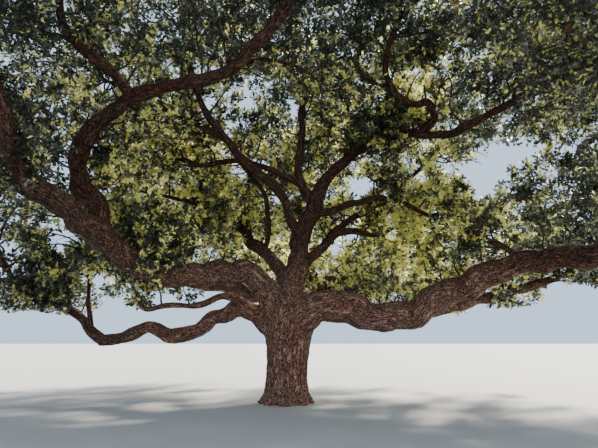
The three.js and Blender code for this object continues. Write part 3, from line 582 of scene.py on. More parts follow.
class OakFoliage(bpy.types.PropertyGroup):
    """Twigs and leaves of the crown"""

    seed: IntProperty(name="Seed", description="Seed of the crown's growth", default=11, min=0)
    twigs_per_metre: FloatProperty(name="Twigs per Metre", default=6.6, min=1,
                                   description="Twigs for each metre of a mass's half size")
    boughlets: IntProperty(name="Boughlets", description="Side twigs on each twig", default=9, min=1)
    shoots: IntProperty(name="Shoots", description="Leafy shoots on each side twig", default=7, min=1)
    leaves: IntProperty(name="Leaves", description="Leaves on each shoot", default=8, min=1)
    leaf_length: length_setting("Leaf Length", "Length of a leaf, before chance and distance", 0.154, 0.02)
    leaf_width: FloatProperty(name="Leaf Width", description="Width of a leaf for its length", default=0.5,
                              min=0.1, max=1)
    glow: FloatProperty(name="Glow", description="Share of the light that comes through a leaf", default=0.42,
                        min=0, max=1, subtype="FACTOR")
    deep_green: colour_setting("Deep Green", "Leaves in the deepest shade", (0.024, 0.028, 0.020))
    dull_green: colour_setting("Dull Green", "Most leaves", (0.070, 0.076, 0.068))
    olive_green: colour_setting("Olive Green", "Leaves near the light", (0.19, 0.20, 0.17))
    bright_green: colour_setting("Bright Green", "Leaves that the light comes through", (0.90, 0.86, 0.26))
    russet: colour_setting("Russet", "The few leaves about to fall", (0.17, 0.075, 0.028))


class OakStage(bpy.types.PropertyGroup):
    """Floor, light and camera"""

    sun_strength: FloatProperty(name="Sun", description="Strength of the low sun", default=19.0, min=0)
    sun_elevation: FloatProperty(name="Sun Elevation", description="Height of the sun above the horizon",
                                 default=math.radians(38), subtype="ANGLE")
    sun_bearing: FloatProperty(name="Sun Bearing", description="Bearing of the sun, from ahead to the right",
                               default=math.radians(38), subtype="ANGLE")
    sun_softness: FloatProperty(name="Sun Softness", description="Width of the sun's disc",
                                default=math.radians(6), subtype="ANGLE")
    fill_strength: FloatProperty(name="Fill", description="Strength of the soft light from the front",
                                 default=1.3, min=0)
    sky_strength: FloatProperty(name="Sky", description="Strength of the light from all round", default=1.35,
                                min=0)
    sky_colour: colour_setting("Sky Colour", "Colour of the backdrop", (0.60, 0.77, 1.0))
    floor_colour: colour_setting("Floor", "Colour of the floor", (0.42, 0.415, 0.40))
    floor_size: length_setting("Floor Size", "Side of the floor", 400.0, 1)


def unit(vectors):
    """The same directions, each of length 1"""
    return vectors / np.maximum(np.linalg.norm(vectors, axis=-1, keepdims=True), TINY)


def run_along(line):
    """How far along a line each of its places lies"""
    return np.concatenate([[0], np.cumsum(np.linalg.norm(np.diff(line, axis=0), axis=1))])


def smooth_line(places, steps=24):
    """A line through the places that is evenly curved and never overshoots, as the solids' limbs are"""
    p = np.array(places, float)
    p = np.vstack([2 * p[0] - p[1], p, 2 * p[-1] - p[-2]])
    share = np.linspace(0, 1, steps, endpoint=False)[:, None]
    line = []
    for before, start, end, after in zip(p, p[1:], p[2:], p[3:]):
        d0, d1, d2 = (np.linalg.norm(b - a) ** 0.5 for a, b in ((before, start), (start, end), (end, after)))
        leave = d1 * ((start - before) / d0 - (end - before) / (d0 + d1) + (end - start) / d1)
        arrive = d1 * ((end - start) / d1 - (after - start) / (d1 + d2) + (after - end) / d2)
        line.append(start + leave * share + (3 * (end - start) - 2 * leave - arrive) * share**2
                    + (2 * (start - end) + leave + arrive) * share**3)
    return np.vstack([*line, p[-2:-1]])


class Wood:
    """A tapering piece of wood along a line, read by the share of its length"""

    def __init__(self, line, radius):
        self.run = run_along(line)
        self.length = self.run[-1]
        self.line = line
        self.radius = radius

    def at(self, share):
        return np.stack([np.interp(share * self.length, self.run, axis) for axis in self.line.T], axis=-1)

    def heading(self, share):
        share = np.asarray(share, float)
        ahead, behind = np.minimum(share + HEADING_STEP, 1), np.maximum(share - HEADING_STEP, 0)
        return unit(self.at(ahead) - self.at(behind))

    def rings(self, spacing):
        """Shares, middles, radii, and two directions across the wood that turn no more than it does"""
        shares = np.linspace(0, 1, max(3, round(self.length / spacing)) + 1)
        middles = self.at(shares)
        headings = self.heading(shares)
        sides = np.empty_like(middles)
        side = np.cross(headings[0], UP)
        side = unit(side) if np.linalg.norm(side) > UPRIGHT else RIGHT
        for i, heading in enumerate(headings):
            side = unit(side - heading * side.dot(heading))
            sides[i] = side
        return shares, middles, self.radius(shares), sides, np.cross(headings, sides)


def waver(run, seed):
    """A smooth chance number between about -1 and 1 for each place along the wood"""
    return np.array([noise.noise(Vector((place, seed, NOISE_LAYER))) for place in run]) * 2


def limb_wood(name):
    """A limb that tapers along its places, a little crooked and knobbly as old limbs are"""
    root, tip, places = LIMBS[name]
    line = smooth_line(places)
    run = run_along(line)
    length = run[-1]
    seed = LIMB_SEED * list(LIMBS).index(name)
    shares = run / length
    sway = CROOKEDNESS * (root + (tip - root) * shares)
    sway = sway * np.minimum(1, 4 * shares) * np.minimum(1, 4 * (1 - shares))
    crooks = [waver(run / CROOK_LENGTH, seed + AXIS_SEED * axis) * sway for axis in range(3)]
    line = line + np.stack(crooks, axis=1)
    knobs = waver(run / KNOB_LENGTH, seed + KNOB_SEED)

    def radius(share):
        taper = root + (tip - root) * share
        collar = COLLAR_SWELL * root * np.exp(-share * length / (COLLAR_FADE * root))
        return taper * (1 + KNOBBLINESS * np.interp(share, shares, knobs)) + collar

    return Wood(line, radius)


def stem_wood(name, limbs):
    """The stem of a mass runs on from its limb's tip, through the middle of the mass"""
    on, middle, half, _ = MASSES[name]
    limb = limbs[on]
    middle = np.array(middle)
    heading = limb.heading(1.0)
    start = limb.at(1.0)
    bend = start + heading * np.linalg.norm(middle - start) / 3
    end = middle - STEM_BEYOND * (start - middle) + STEM_RISE * half[2] * UP
    near_end = middle + STEM_END_BEND * (end - middle)
    t = np.linspace(0, SHORT_STEMS.get(name, 1), STEM_STEPS)[:, None]
    line = (1 - t)**3 * start + 3 * t * (1 - t)**2 * bend + 3 * t**2 * (1 - t) * near_end + t**3 * end
    line = np.vstack([start - heading * STEM_OVERLAP, line])
    root = limb.radius(1.0)
    return Wood(line, lambda share: root + (STEM_TIP - root) * share)


def limbs_and_stems():
    """Every limb, and the stem of every mass, by their names"""
    limbs = {name: limb_wood(name) for name in LIMBS}
    return limbs, {name: stem_wood(name, limbs) for name in MASSES}


def trunk_half(z):
    """Half width of the trunk at a height"""
    heights, halves = np.array(TRUNK_PROFILE).T
    return np.interp(z, heights, halves)


def trunk_lean(z):
    """How far the trunk leans to the right at a height"""
    return TRUNK_LEAN * (np.maximum(z, 0) / TRUNK_TOP) ** 2


def trunk_rings():
    """The trunk's fluted rings, from below the ground up to the fork"""
    turns = np.linspace(0, 2 * math.pi, TRUNK_CORNERS, endpoint=False)
    flutes = np.sin(TRUNK_FLUTES * turns) + BROAD_FLUTE_DEPTH * np.sin(BROAD_FLUTES * turns)
    rings = []
    for z in np.concatenate([[-BELOW_GROUND], np.linspace(0, TRUNK_TOP, TRUNK_RINGS)]):
        flare = FLARE_DEPTH * math.exp(-max(z, 0) / FLARE_HEIGHT)
        radius = (trunk_half(z) - FLUTING) * (1 + flare * flutes)
        places = [trunk_lean(z) + radius * np.cos(turns), radius * np.sin(turns), np.full(TRUNK_CORNERS, z)]
        rings.append(np.stack(places, axis=1))
    return np.array(rings)


def strand_woods():
    """Strands of wood down the trunk, each turned from the fork to the ground as far as its two turns say"""
    z = np.linspace(STRAND_TOP, -BELOW_GROUND, STRAND_RINGS)
    share = (STRAND_TOP - z) / STRAND_TOP
    reach = trunk_half(z) - STRAND_HALF
    woods = []
    for high, low in STRANDS:
        turn = np.radians(high + (low - high) * share)
        line = np.column_stack([trunk_lean(z) + reach * np.cos(turn), reach * np.sin(turn), z])
        woods.append(Wood(line, lambda share: STRAND_HALF + 0 * share))
    return woods


def ring_turns(corners):
    """Turns of the corners round a ring, one to a row"""
    return np.linspace(0, 2 * math.pi, corners, endpoint=False)[:, None]


def round_wood(sides, tops, turns):
    """Directions square to the wood, round each of its rings"""
    return np.cos(turns) * sides[:, None] + np.sin(turns) * tops[:, None]


def tube_faces(count, corners, first=0):
    """Quads between the rings of a tube, with a face over each end"""
    k = np.arange(corners)
    around = (k + 1) % corners
    one = first + np.stack([k, around, around + corners, k + corners], axis=1)
    quads = (one[None] + corners * np.arange(count - 1)[:, None, None]).reshape(-1, 4)
    return [*quads.tolist(), (first + k[::-1]).tolist(), (first + k + corners * (count - 1)).tolist()]


def object_of(name, data):
    """An object in the scene for a mesh, a light or a camera"""
    made = bpy.data.objects.new(name, data)
    bpy.context.scene.collection.objects.link(made)
    return made


def mesh_of(name, places, faces):
    """A mesh from its places and its faces of any number of corners"""
    mesh = bpy.data.meshes.new(name)
    mesh.from_pydata(places.tolist(), [], faces)
    return mesh


def read_corners(mesh, field="co"):
    """The places of a mesh's corners, or their normals, one to a row"""
    values = np.empty(len(mesh.vertices) * 3, np.float32)
    mesh.vertices.foreach_get(field, values)
    return values.reshape(-1, 3).astype(float)


def mesh_from_arrays(name, places, corners, counts, slots=None):
    """A mesh from its places, the corners of its faces in one row and the number of corners of each"""
    mesh = bpy.data.meshes.new(name)
    mesh.vertices.add(len(places))
    mesh.vertices.foreach_set("co", places.astype(np.float32).ravel())
    mesh.loops.add(len(corners))
    mesh.loops.foreach_set("vertex_index", corners.astype(np.int32))
    mesh.polygons.add(len(counts))
    starts = np.concatenate([[0], np.cumsum(counts)[:-1]])
    mesh.polygons.foreach_set("loop_start", starts.astype(np.int32))
    if slots is not None:
        mesh.polygons.foreach_set("material_index", slots.astype(np.int32))
    mesh.update(calc_edges=True)
    return mesh


def bell(away, height, place, width):
    """A rounded rise at a place, on either side of which it falls off"""
    return height * np.exp(-((away - place) / width)**2)


def relief(grain, places, settings, fineness=1.0):
    """Height of the furrows, and of the broad lumps and knots, over places given by the wood's own grain"""
    spacing = settings.furrow_spacing * fineness
    furrows, lumps = np.empty(len(grain)), np.empty(len(grain))
    for i, (x, y, along) in enumerate(grain.tolist()):
        wave = Vector((x * WANDER_ACROSS, y * WANDER_ACROSS, along * WANDER_ALONG + WANDER_LAYER))
        place = Vector((x / spacing, y / spacing, along / (spacing * FURROW_STRETCH) + noise.noise(wave)))
        furrows[i] = noise.turbulence(place, FURROW_OCTAVES, False, noise_basis="PERLIN_ORIGINAL",
                                      amplitude_scale=FURROW_FADE, frequency_scale=FURROW_STEP)
        lump = Vector((x * LUMPS_ACROSS, y * LUMPS_ACROSS, along * LUMPS_ALONG))
        lumps[i] = noise.fractal(lump, *LUMP_NOISE)
    furrows = settings.furrow_depth * fineness * (FURROW_RANGE * furrows - FURROW_LEVEL)
    lumps *= settings.swelling
    for knot, half in KNOTS:
        away = np.linalg.norm(places - np.array(knot), axis=1) / half
        lumps += half * (bell(away, *KNOT_RIM) - bell(away, *KNOT_HOLLOW))
        furrows -= KNOT_GROOVE_DEPTH * half * sum(bell(away, *groove) for groove in KNOT_GROOVES)
    return furrows, lumps


def height_on(radius, furrows, lumps, fullness):
    """Height of the bark on wood of a radius: thin wood carries less of the furrows and lumps"""
    (furrow_radius, furrow_least), (lump_radius, lump_least) = fullness
    return (furrows * np.clip(radius / furrow_radius, furrow_least, 1)
            + lumps * np.clip(radius / lump_radius, lump_least, 1))


def grain_of(places, woods):
    """For each place, where it lies across and along the wood that it belongs to, and that wood's radius"""
    samples = []
    for order, wood in enumerate(woods):
        shares, middles, radii, sides, tops = wood.rings(GRAIN_SPACING)
        run = shares * wood.length + BOUGH_GRAIN_GAP * order
        samples.append(np.column_stack([middles, sides, tops, np.cross(sides, tops), radii, run]))
    samples = np.vstack(samples)
    centres, radii = samples[None, :, :3], samples[None, :, 12]
    grain = np.empty((len(places), 3))
    radius = np.empty(len(places))
    for start in range(0, len(places), GRAIN_CHUNK):
        part = places[start:start + GRAIN_CHUNK]
        apart = np.linalg.norm(part[:, None] - centres, axis=2) / radii
        own = samples[apart.argmin(axis=1)]
        centre, side, top, heading = own[:, :12].reshape(-1, 4, 3).transpose(1, 0, 2)
        offset = part - centre
        across = (offset * side).sum(1), (offset * top).sum(1)
        grain[start:start + GRAIN_CHUNK] = np.column_stack([*across, own[:, 13] + (offset * heading).sum(1)])
        radius[start:start + GRAIN_CHUNK] = own[:, 12]
    return grain, radius


def store_grain(mesh, grain, heights):
    """Keeps the bark's grain and the height of its furrows on the mesh for its material"""
    grain_field = mesh.attributes.new("grain", "FLOAT_VECTOR", "POINT")
    grain_field.data.foreach_set("vector", grain.astype(np.float32).ravel())
    height_field = mesh.attributes.new("height", "FLOAT", "POINT")
    height_field.data.foreach_set("value", heights.astype(np.float32))


def cut_at_ground(mesh):
    """Cuts the wood off flat at ground level and closes it there"""
    work = bmesh.new()
    work.from_mesh(mesh)
    geometry = [*work.verts, *work.edges, *work.faces]
    cut = bmesh.ops.bisect_plane(work, geom=geometry, plane_co=(0, 0, 0), plane_no=(0, 0, -1),
                                 clear_outer=True)
    rim = [e for e in cut["geom_cut"] if isinstance(e, bmesh.types.BMEdge)]
    bmesh.ops.edgeloop_fill(work, edges=rim)
    work.to_mesh(mesh)
    work.free()


class Finish:
    """A material built up from shader nodes"""

    def __init__(self, name):
        self.material = bpy.data.materials.new(name)
        self.material.use_nodes = True
        self.tree = self.material.node_tree
        self.tree.nodes.clear()

    def add(self, kind, sockets, **fields):
        """Adds a node and gives its outputs; a socket takes a plain value or the output that feeds it"""
        node = self.tree.nodes.new("ShaderNode" + kind)
        for field, value in fields.items():
            setattr(node, field, value)
        for socket, value in sockets.items():
            if isinstance(value, bpy.types.NodeSocket):
                self.tree.links.new(value, node.inputs[socket])
            else:
                node.inputs[socket].default_value = value
        return node.outputs

    def ramp(self, value, tones):
        """Adds a ramp through three tones, each at its place"""
        node = self.tree.nodes.new("ShaderNodeValToRGB")
        elements = node.color_ramp.elements
        (low, dark), (middle, main), (high, light) = tones
        elements[0].position, elements[0].color = low, (*dark, 1)
        elements[1].position, elements[1].color = high, (*light, 1)
        elements.new(middle).color = (*main, 1)
        self.tree.links.new(value, node.inputs["Fac"])
        return node.outputs["Color"]

    def smooth_range(self, value, limits):
        """Adds a smooth step between the limits"""
        sockets = {"Value": value, **limits}
        return self.add("MapRange", sockets, interpolation_type="SMOOTHSTEP")["Result"]

    def tinted(self, colour, tint, share):
        """Adds a node that tints a colour as far as the share says"""
        sockets = {"Fac": share, "Color1": colour, "Color2": (*tint, 1)}
        return self.add("MixRGB", sockets, blend_type="MULTIPLY")["Color"]

    def surfaced(self, shader):
        """The material, with the shader as its surface"""
        self.add("OutputMaterial", {"Surface": shader})
        return self.material


def plain_material(name, tint, roughness):
    """One colour, dull or shiny"""
    finish = Finish(name)
    shader = finish.add("BsdfPrincipled", {"Base Color": (*tint, 1), "Roughness": roughness})["BSDF"]
    return finish.surfaced(shader)


def bark_material(settings):
    """Old oak bark: fine wavering furrows along the wood, in warm and weathered browns, with painted shade in
    the furrows and far out and up in the crown
    """
    finish = Finish("oak_bark")
    grain = finish.add("Attribute", {}, attribute_name="grain")["Vector"]
    height = finish.add("Attribute", {}, attribute_name="height")["Fac"]

    # Furrows along the grain, and small plates between them
    stretched = finish.add("Mapping", {"Vector": grain, "Scale": (1.0, 1.0, 0.3)})["Vector"]
    waves = finish.add("TexNoise", {"Vector": grain, "Scale": 7.0, "Detail": 3.0})["Color"]
    along = finish.add("VectorMath", {0: waves, 1: (0.09, 0.09, 0.03), 2: stretched},
                       operation="MULTIPLY_ADD")["Vector"]
    ridges = finish.add("TexNoise", {"Vector": along, "Scale": 40.0, "Detail": 6.0, "Roughness": 0.68})
    edges = finish.add("TexVoronoi", {"Vector": along, "Scale": 38.0}, feature="DISTANCE_TO_EDGE")
    plates = finish.smooth_range(edges["Distance"], {"From Max": 0.2})
    cover = finish.add("Math", {0: plates, 1: 0.14, 2: ridges["Fac"]}, operation="MULTIPLY_ADD")["Value"]

    # Dark in the furrows, the bark's own darker tone together with painted shade deep in them, and pale on
    # the ridges
    raised = finish.add("MapRange", {"Value": height, "From Min": -0.010, "From Max": 0.012})["Result"]
    depth = finish.add("Math", {0: raised, 1: 0.18, 2: cover}, operation="MULTIPLY_ADD")["Value"]
    toned = finish.ramp(depth, [(0.56, settings.furrow_bark_and_shade_colour), (0.71, settings.ridge_colour),
                                (0.90, settings.weathered_colour)])

    # Redder in stretches
    patches = finish.add("TexNoise", {"Vector": stretched, "Scale": 2.1, "Detail": 4.0})["Fac"]
    warmth = finish.add("MapRange", {"Value": patches, "From Min": 0.38, "From Max": 0.66, "To Max": 0.8})
    warmed = finish.tinted(toned, settings.red_colour, warmth["Result"])

    # Painted shade: darker far from the trunk and up in the crown, where the crown shades the wood
    place = finish.add("TexCoord", {})["Object"]
    rise = finish.add("SeparateXYZ", {"Vector": place})["Z"]
    level = finish.add("Mapping", {"Vector": place, "Location": (-0.5, 0.0, 0.0), "Scale": (1.0, 1.0, 0.0)})
    away = finish.add("VectorMath", {0: level["Vector"]}, operation="LENGTH")["Value"]
    painted_shade_far_out = finish.smooth_range(away, {"From Min": 3.3, "From Max": 6.8, "To Max": 0.88})
    painted_shade_aloft = finish.smooth_range(rise, {"From Min": 2.5, "From Max": 4.6})
    shade = finish.add("Math", {0: painted_shade_aloft, 1: painted_shade_far_out}, operation="MAXIMUM")["Value"]
    shaded = finish.tinted(warmed, settings.crown_shade_colour, shade)

    bump = finish.add("Bump", {"Strength": 0.8, "Distance": 0.014, "Height": cover})["Normal"]
    return finish.surfaced(finish.add("BsdfPrincipled", {
        "Base Color": shaded, "Roughness": 0.9, "Specular IOR Level": 0.2, "Normal": bump,
    })["BSDF"])


def leaf_material(name, tint, glow):
    """A leathery leaf that lets some light through"""
    finish = Finish(name)
    face = finish.add("BsdfPrincipled", {
        "Base Color": (*tint, 1), "Roughness": LEAF_ROUGHNESS, "Specular IOR Level": LEAF_SHINE,
    })["BSDF"]
    lighter = [min(1, part * more) for part, more in zip(tint, GLOW_TINT)]
    through = finish.add("BsdfTranslucent", {"Color": (*lighter, 1)})["BSDF"]
    return finish.surfaced(finish.add("MixShader", {"Fac": glow, 1: face, 2: through})["Shader"])


def settle(piece, material, nodes):
    """The piece takes its material, rides on the tree and stands for its nodes"""
    piece.data.materials.append(material)
    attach(piece, "root")
    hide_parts(*nodes)


class Growth:
    """Crooked twigs of one order: where each starts, bends and ends, how it sways on the way and which twig
    it grows from"""

    def __init__(self, start, bend, end, sway, parent):
        self.start, self.bend, self.end, self.sway, self.parent = start, bend, end, sway, parent

    def __len__(self):
        return len(self.start)

    def pick(self, chosen):
        parts = (self.start, self.bend, self.end, self.sway, self.parent)
        return Growth(*(part[chosen] for part in parts))

    def at(self, share):
        share = np.asarray(share, float)[..., None]
        start, bend, end = (p[:, None] for p in (self.start, self.bend, self.end))
        once, twice = self.sway[:, None, 0], self.sway[:, None, 1]
        crooks = (once * np.sin(LONG_WAVES * math.pi * share)
                  + twice * np.sin(SHORT_WAVES * math.pi * share))
        return (1 - share)**2 * start + 2 * share * (1 - share) * bend + share**2 * end + crooks

    def heading(self, share):
        share = np.asarray(share, float)
        ahead, behind = np.minimum(share + TWIG_HEADING_STEP, 1), np.maximum(share - TWIG_HEADING_STEP, 0)
        return unit(self.at(ahead) - self.at(behind))


def sway_of(reach, random):
    """How far twigs of the given lengths sway, in one long crook and in several short ones"""
    shape = (len(reach), 1, 3)
    return reach.reshape(-1, 1, 1) * np.concatenate([random.normal(0, LONG_CROOK, shape),
                                                     random.normal(0, SHORT_CROOK, shape)], axis=1)


def in_box(places):
    """Whether each place stays within the box of the solids, give or take its margin, and above the ground"""
    low, high = np.array(CAD_BOX[0]) - BOX_MARGIN, np.array(CAD_BOX[1]) + BOX_MARGIN
    return (places > low).all(axis=1) & (places < high).all(axis=1) & (places[:, 2] > LOWEST_LEAF)


def in_space(index, places, random):
    """Whether each twig's tip lies in its mass's own space, or for a spray on a limb in the crown's box"""
    inside = in_box(places) & ~in_sky_opening(places, random.normal(0, OPENING_FRAY, len(places)))
    if index is None:
        return inside
    depths = np.linalg.norm((places[:, None] - MIDDLES) / HALVES, axis=2)
    own = depths[:, index].copy()
    depths[:, index] = np.inf
    return (own <= TWIG_REACH) & (depths.min(axis=1) > own - SPACE_OVERLAP) & inside


def in_reach(index, places):
    """Whether each leaf tip stays within its mass and the box"""
    inside = in_box(places)
    if index is None:
        return inside
    return inside & (np.linalg.norm((places - MIDDLES[index]) / HALVES[index], axis=1) < LEAF_REACH)


def seen_at(places):
    """The column and row of the image where each place is seen, and its depth behind the camera's plane"""
    x, y, z = (places - np.array(CAMERA_PLACE)).T
    depth = np.maximum(y * math.cos(CAMERA_PITCH) + z * math.sin(CAMERA_PITCH), NEAREST_SEEN)
    column = IMAGE_WIDTH / 2 + FOCAL_PIXELS * x / depth
    row = IMAGE_HEIGHT / 2 - FOCAL_PIXELS * (z * math.cos(CAMERA_PITCH) - y * math.sin(CAMERA_PITCH)) / depth
    return column, row, depth


def off_middle(column, row, middle_column, middle_row, half_width, half_height):
    """How far off an oval's middle each place is seen, in the oval's half sizes"""
    return np.hypot((column - middle_column) / half_width, (row - middle_row) / half_height)


def limb_depths(limbs):
    """For each pixel of the image, how far away the nearest limb that has to stay in sight is"""
    depths = np.full((IMAGE_HEIGHT, IMAGE_WIDTH), -np.inf)
    for name, clear_share in CLEAR_LIMBS.items():
        shares = np.linspace(0, clear_share, round(limbs[name].length / SIGHT_STEP))
        column, row, depth = seen_at(limbs[name].at(shares))
        reach = CLEAR_WIDTH * limbs[name].radius(shares) * FOCAL_PIXELS / depth
        for x, y, far, half in zip(column, row, depth, reach):
            left, right = (int(np.clip(v, 0, IMAGE_WIDTH)) for v in (x - half, x + half + 1))
            top, bottom = (int(np.clip(v, 0, IMAGE_HEIGHT)) for v in (y - half, y + half + 1))
            patch = depths[top:bottom, left:right]
            np.maximum(patch, far, out=patch)
    return depths


def before_limb(places, depths):
    """Whether each place would hide a limb that has to stay in sight"""
    column, row, depth = seen_at(places)
    shown = (column >= 0) & (column < IMAGE_WIDTH) & (row >= 0) & (row < IMAGE_HEIGHT)
    hidden = np.zeros(len(places), bool)
    hidden[shown] = depth[shown] < depths[row[shown].astype(int), column[shown].astype(int)]
    for oval in COVERED_PLACES:
        hidden &= off_middle(column, row, *oval) > 1
    return hidden


def in_sky_opening(places, fray):
    """Whether each place is seen through one of the openings, from where the camera stands"""
    column, row, depth = seen_at(places)
    hit = np.zeros(len(places), bool)
    for oval in SKY_OPENINGS:
        hit |= off_middle(column, row, *oval) < 1 - np.abs(fray)
    return hit & (depth > NEAREST_OPENING)


def samples_of(woods):
    """Places along every limb and stem, with the radius there"""
    samples = []
    for wood in woods:
        shares = np.linspace(0, 1, max(2, round(wood.length / TWIG_LINE_SPACING)))
        samples.append(np.column_stack([wood.at(shares), wood.radius(shares)]))
    return np.vstack(samples)


def samples_between(samples, low, high):
    """The samples within a box"""
    return samples[((samples[:, :3] > low) & (samples[:, :3] < high)).all(axis=1)]


def clear_of_wood(places, samples):
    """Whether each place keeps off the limbs"""
    if not len(samples):
        return np.ones(len(places), bool)
    apart = np.linalg.norm(places[:, None] - samples[None, :, :3], axis=2) - samples[None, :, 3]
    return apart.min(axis=1) > WOOD_MARGIN


def spread_round(along, turns):
    """Directions square to each heading, turned about it"""
    level = np.cross(along, UP)
    flat = np.linalg.norm(level, axis=-1, keepdims=True) < FLAT_SIDE
    level = unit(np.where(flat, RIGHT, level))
    return level * np.cos(turns)[..., None] + np.cross(along, level) * np.sin(turns)[..., None]


def grow_twigs(index, name, stem, settings, random, samples):
    """Twigs from the stem towards places spread evenly over the mass"""
    _, middle, half, _ = MASSES[name]
    count = round(settings.twigs_per_metre * FULLER.get(name, 1) * sum(half) / 3)
    rise = 1 - (2 * np.arange(count) + 1) / count
    turn = 2 * math.pi * random.random() + GOLDEN_ANGLE * np.arange(count)
    flat = np.sqrt(1 - rise**2)
    outward = np.stack([flat * np.cos(turn), flat * np.sin(turn), rise], axis=1)
    stem_heading = unit(stem.at(1.0) - stem.at(0.0))
    ahead = (1 + outward @ stem_heading) / 2
    along = 1 - TWIG_ROOT_CHANCE + TWIG_ROOT_CHANCE * random.random(count)
    start = stem.at(TWIG_ROOT + TWIG_ROOTS_SPAN * ahead * along)
    reach = random.uniform(*TWIG_LENGTHS, count)
    kept = np.zeros(count, bool)
    end = np.zeros((count, 3))
    for shorter in TWIG_TRIALS:
        trial = np.array(middle) + outward * np.array(half) * (reach * shorter)[:, None]
        fits = ~kept & in_space(index, trial, random) & clear_of_wood(trial, samples)
        end[fits] = trial[fits]
        kept |= fits
    length = np.linalg.norm(end - start, axis=1)[:, None]
    bend = (start + end) / 2 + length * (TWIG_ARCH * UP + random.normal(0, TWIG_BEND_CHANCE, (count, 3)))
    return Growth(start, bend, end, sway_of(length, random), np.zeros(count, int)).pick(kept)


def grow_sides(index, parents, each, kind, size, random, samples):
    """Side twigs along each parent, turned by the golden angle from one to the next"""
    first, size_share, extra, spread, lift = kind
    many = len(parents)
    share = np.linspace(first, 1, each) + random.normal(0, SIDE_ROOT_CHANCE, (many, each))
    share = np.clip(share, SIDE_FIRST, 1)
    start = parents.at(share)
    along = parents.heading(share)
    turns = 2 * math.pi * random.random((many, 1)) + GOLDEN_ANGLE * np.arange(each)
    end_share, end_spread = SIDE_END
    sideways = np.where(share > end_share, end_spread, spread)[..., None]
    heading = along + sideways * spread_round(along, turns) + lift * UP
    heading = unit(heading + random.normal(0, SIDE_TURN_CHANCE, start.shape))
    reach = (size_share * size + extra) * random.uniform(*SIDE_LENGTHS, (many, each))
    start, heading, reach = start.reshape(-1, 3), heading.reshape(-1, 3), reach.reshape(-1, 1)
    end = start + heading * reach
    short = start + heading * reach * SIDE_SHORTER
    fits = in_space(index, end, random) & clear_of_wood(end, samples)
    end[~fits] = short[~fits]
    fits |= in_space(index, end, random) & clear_of_wood(end, samples)
    bend = start + heading * reach * 0.5 + reach * random.normal(0, SIDE_BEND_CHANCE, end.shape)
    return Growth(start, bend, end, sway_of(reach, random), np.repeat(np.arange(many), each)).pick(fits)


def fineness_at(places):
    """How large leaves are drawn at each place, for their full length"""
    away = np.linalg.norm(places - np.array(CAMERA_PLACE), axis=-1)
    return np.interp(away, NEAR_DISTANCES, NEAR_SIZES)


def off_limbs(growth, depths, random, shares=CROSSING_PLACES):
    """The growth without most of what would cross a limb that has to stay in sight"""
    crossing = np.zeros(len(growth), bool)
    for share in shares:
        crossing |= before_limb(growth.at(np.full((len(growth), 1), share))[:, 0], depths)
    return growth.pick(~crossing | (random.random(len(growth)) < CROSSING_SHARE))


def branched(index, twigs, side_kind, boughlets, shoots, size, random, samples, depths):
    """The twigs with their side twigs and leafy shoots, without those that would stay bare"""
    sides = off_limbs(grow_sides(index, twigs, boughlets, side_kind, size, random, samples), depths, random)
    leafy = off_limbs(grow_sides(index, sides, shoots, SHOOTS, size, random, samples), depths, random)
    bearing = np.unique(leafy.parent)
    return twigs.pick(np.unique(sides.parent[bearing])), sides.pick(bearing), leafy


def mass_growth(index, name, stem, settings, wood, depths):
    """All twigs, side twigs and shoots of one mass"""
    random = np.random.default_rng(settings.seed + index)
    reach = HALVES[index] + TWIG_NEARBY
    samples = samples_between(wood, MIDDLES[index] - reach, MIDDLES[index] + reach)
    twigs = off_limbs(grow_twigs(index, name, stem, settings, random, samples), depths, random)
    fine = fineness_at(MIDDLES[index])
    boughlets = round(settings.boughlets / fine**BOUGHLET_POWER)
    shoots = round(settings.shoots / fine**SHOOT_POWER)
    size = float(HALVES[index].mean())
    return branched(index, twigs, SIDE_TWIGS, boughlets, shoots, size, random, samples, depths)


def spray_growth(order, limbs, settings, wood, depths):
    """All twigs, side twigs and shoots of one row of sprays"""
    name, first, last, count, length, back, lift, _ = LIMB_SPRAYS[order]
    random = np.random.default_rng(settings.seed + SPRAY_SEED + order)
    limb = limbs[name]
    reach = length * 2
    samples = samples_between(wood, limb.line.min(axis=0) - reach, limb.line.max(axis=0) + reach)
    twigs = grow_sprays(limb, np.linspace(first, last, count), length, back, lift, random, samples)
    twigs = off_limbs(twigs, depths, random, CROSSING_PLACES[1:])
    boughlets, shoots = settings.boughlets - SPRAY_FEWER_BOUGHLETS, settings.shoots - SPRAY_FEWER_SHOOTS
    return branched(None, twigs, SPRAY_SIDE_TWIGS, boughlets, shoots, SPRAY_SIZE, random, samples, depths)


def crown_growth(settings, limbs, stems, depths):
    """All twigs, side twigs and shoots of each mass, and then of each row of sprays"""
    wood = samples_of([*limbs.values(), *stems.values()])
    crown = {}
    for index, name in enumerate(MASSES):
        crown[name] = mass_growth(index, name, stems[name], settings, wood, depths)
    for order in range(len(LIMB_SPRAYS)):
        crown[spray_name(order)] = spray_growth(order, limbs, settings, wood, depths)
    return crown


def spray_name(order):
    """What a row of sprays is called in the crown"""
    return f"{LIMB_SPRAYS[order][0]}_sprays_{order}"


def grow_sprays(limb, shares, length, back, lift, random, samples):
    """Leafy branches from the side of a limb, mostly upwards and away from the photographer"""
    count = len(shares)
    shares = np.clip(shares + random.normal(0, SPRAY_ROOT_CHANCE, count), *SPRAY_ROOTS)
    start, along = limb.at(shares), limb.heading(shares)
    turns = 2 * math.pi * random.random() + GOLDEN_ANGLE * np.arange(count)
    heading = unit(SPRAY_ALONG * along + spread_round(along, turns) + lift * UP + back * AWAY)
    reach = length * random.uniform(*SPRAY_LENGTHS, (count, 1))
    end = start + heading * reach
    fits = in_space(None, end, random) & clear_of_wood(end, samples)
    fits &= end[:, 2] > start[:, 2] + min(lift, 0) * 2 * length - SPRAY_DROP
    arch = SPRAY_ARCH * UP + random.normal(0, SPRAY_BEND_CHANCE, end.shape)
    bend = start + heading * reach * 0.5 + reach * arch
    return Growth(start, bend, end, sway_of(reach, random), np.zeros(count, int)).pick(fits)


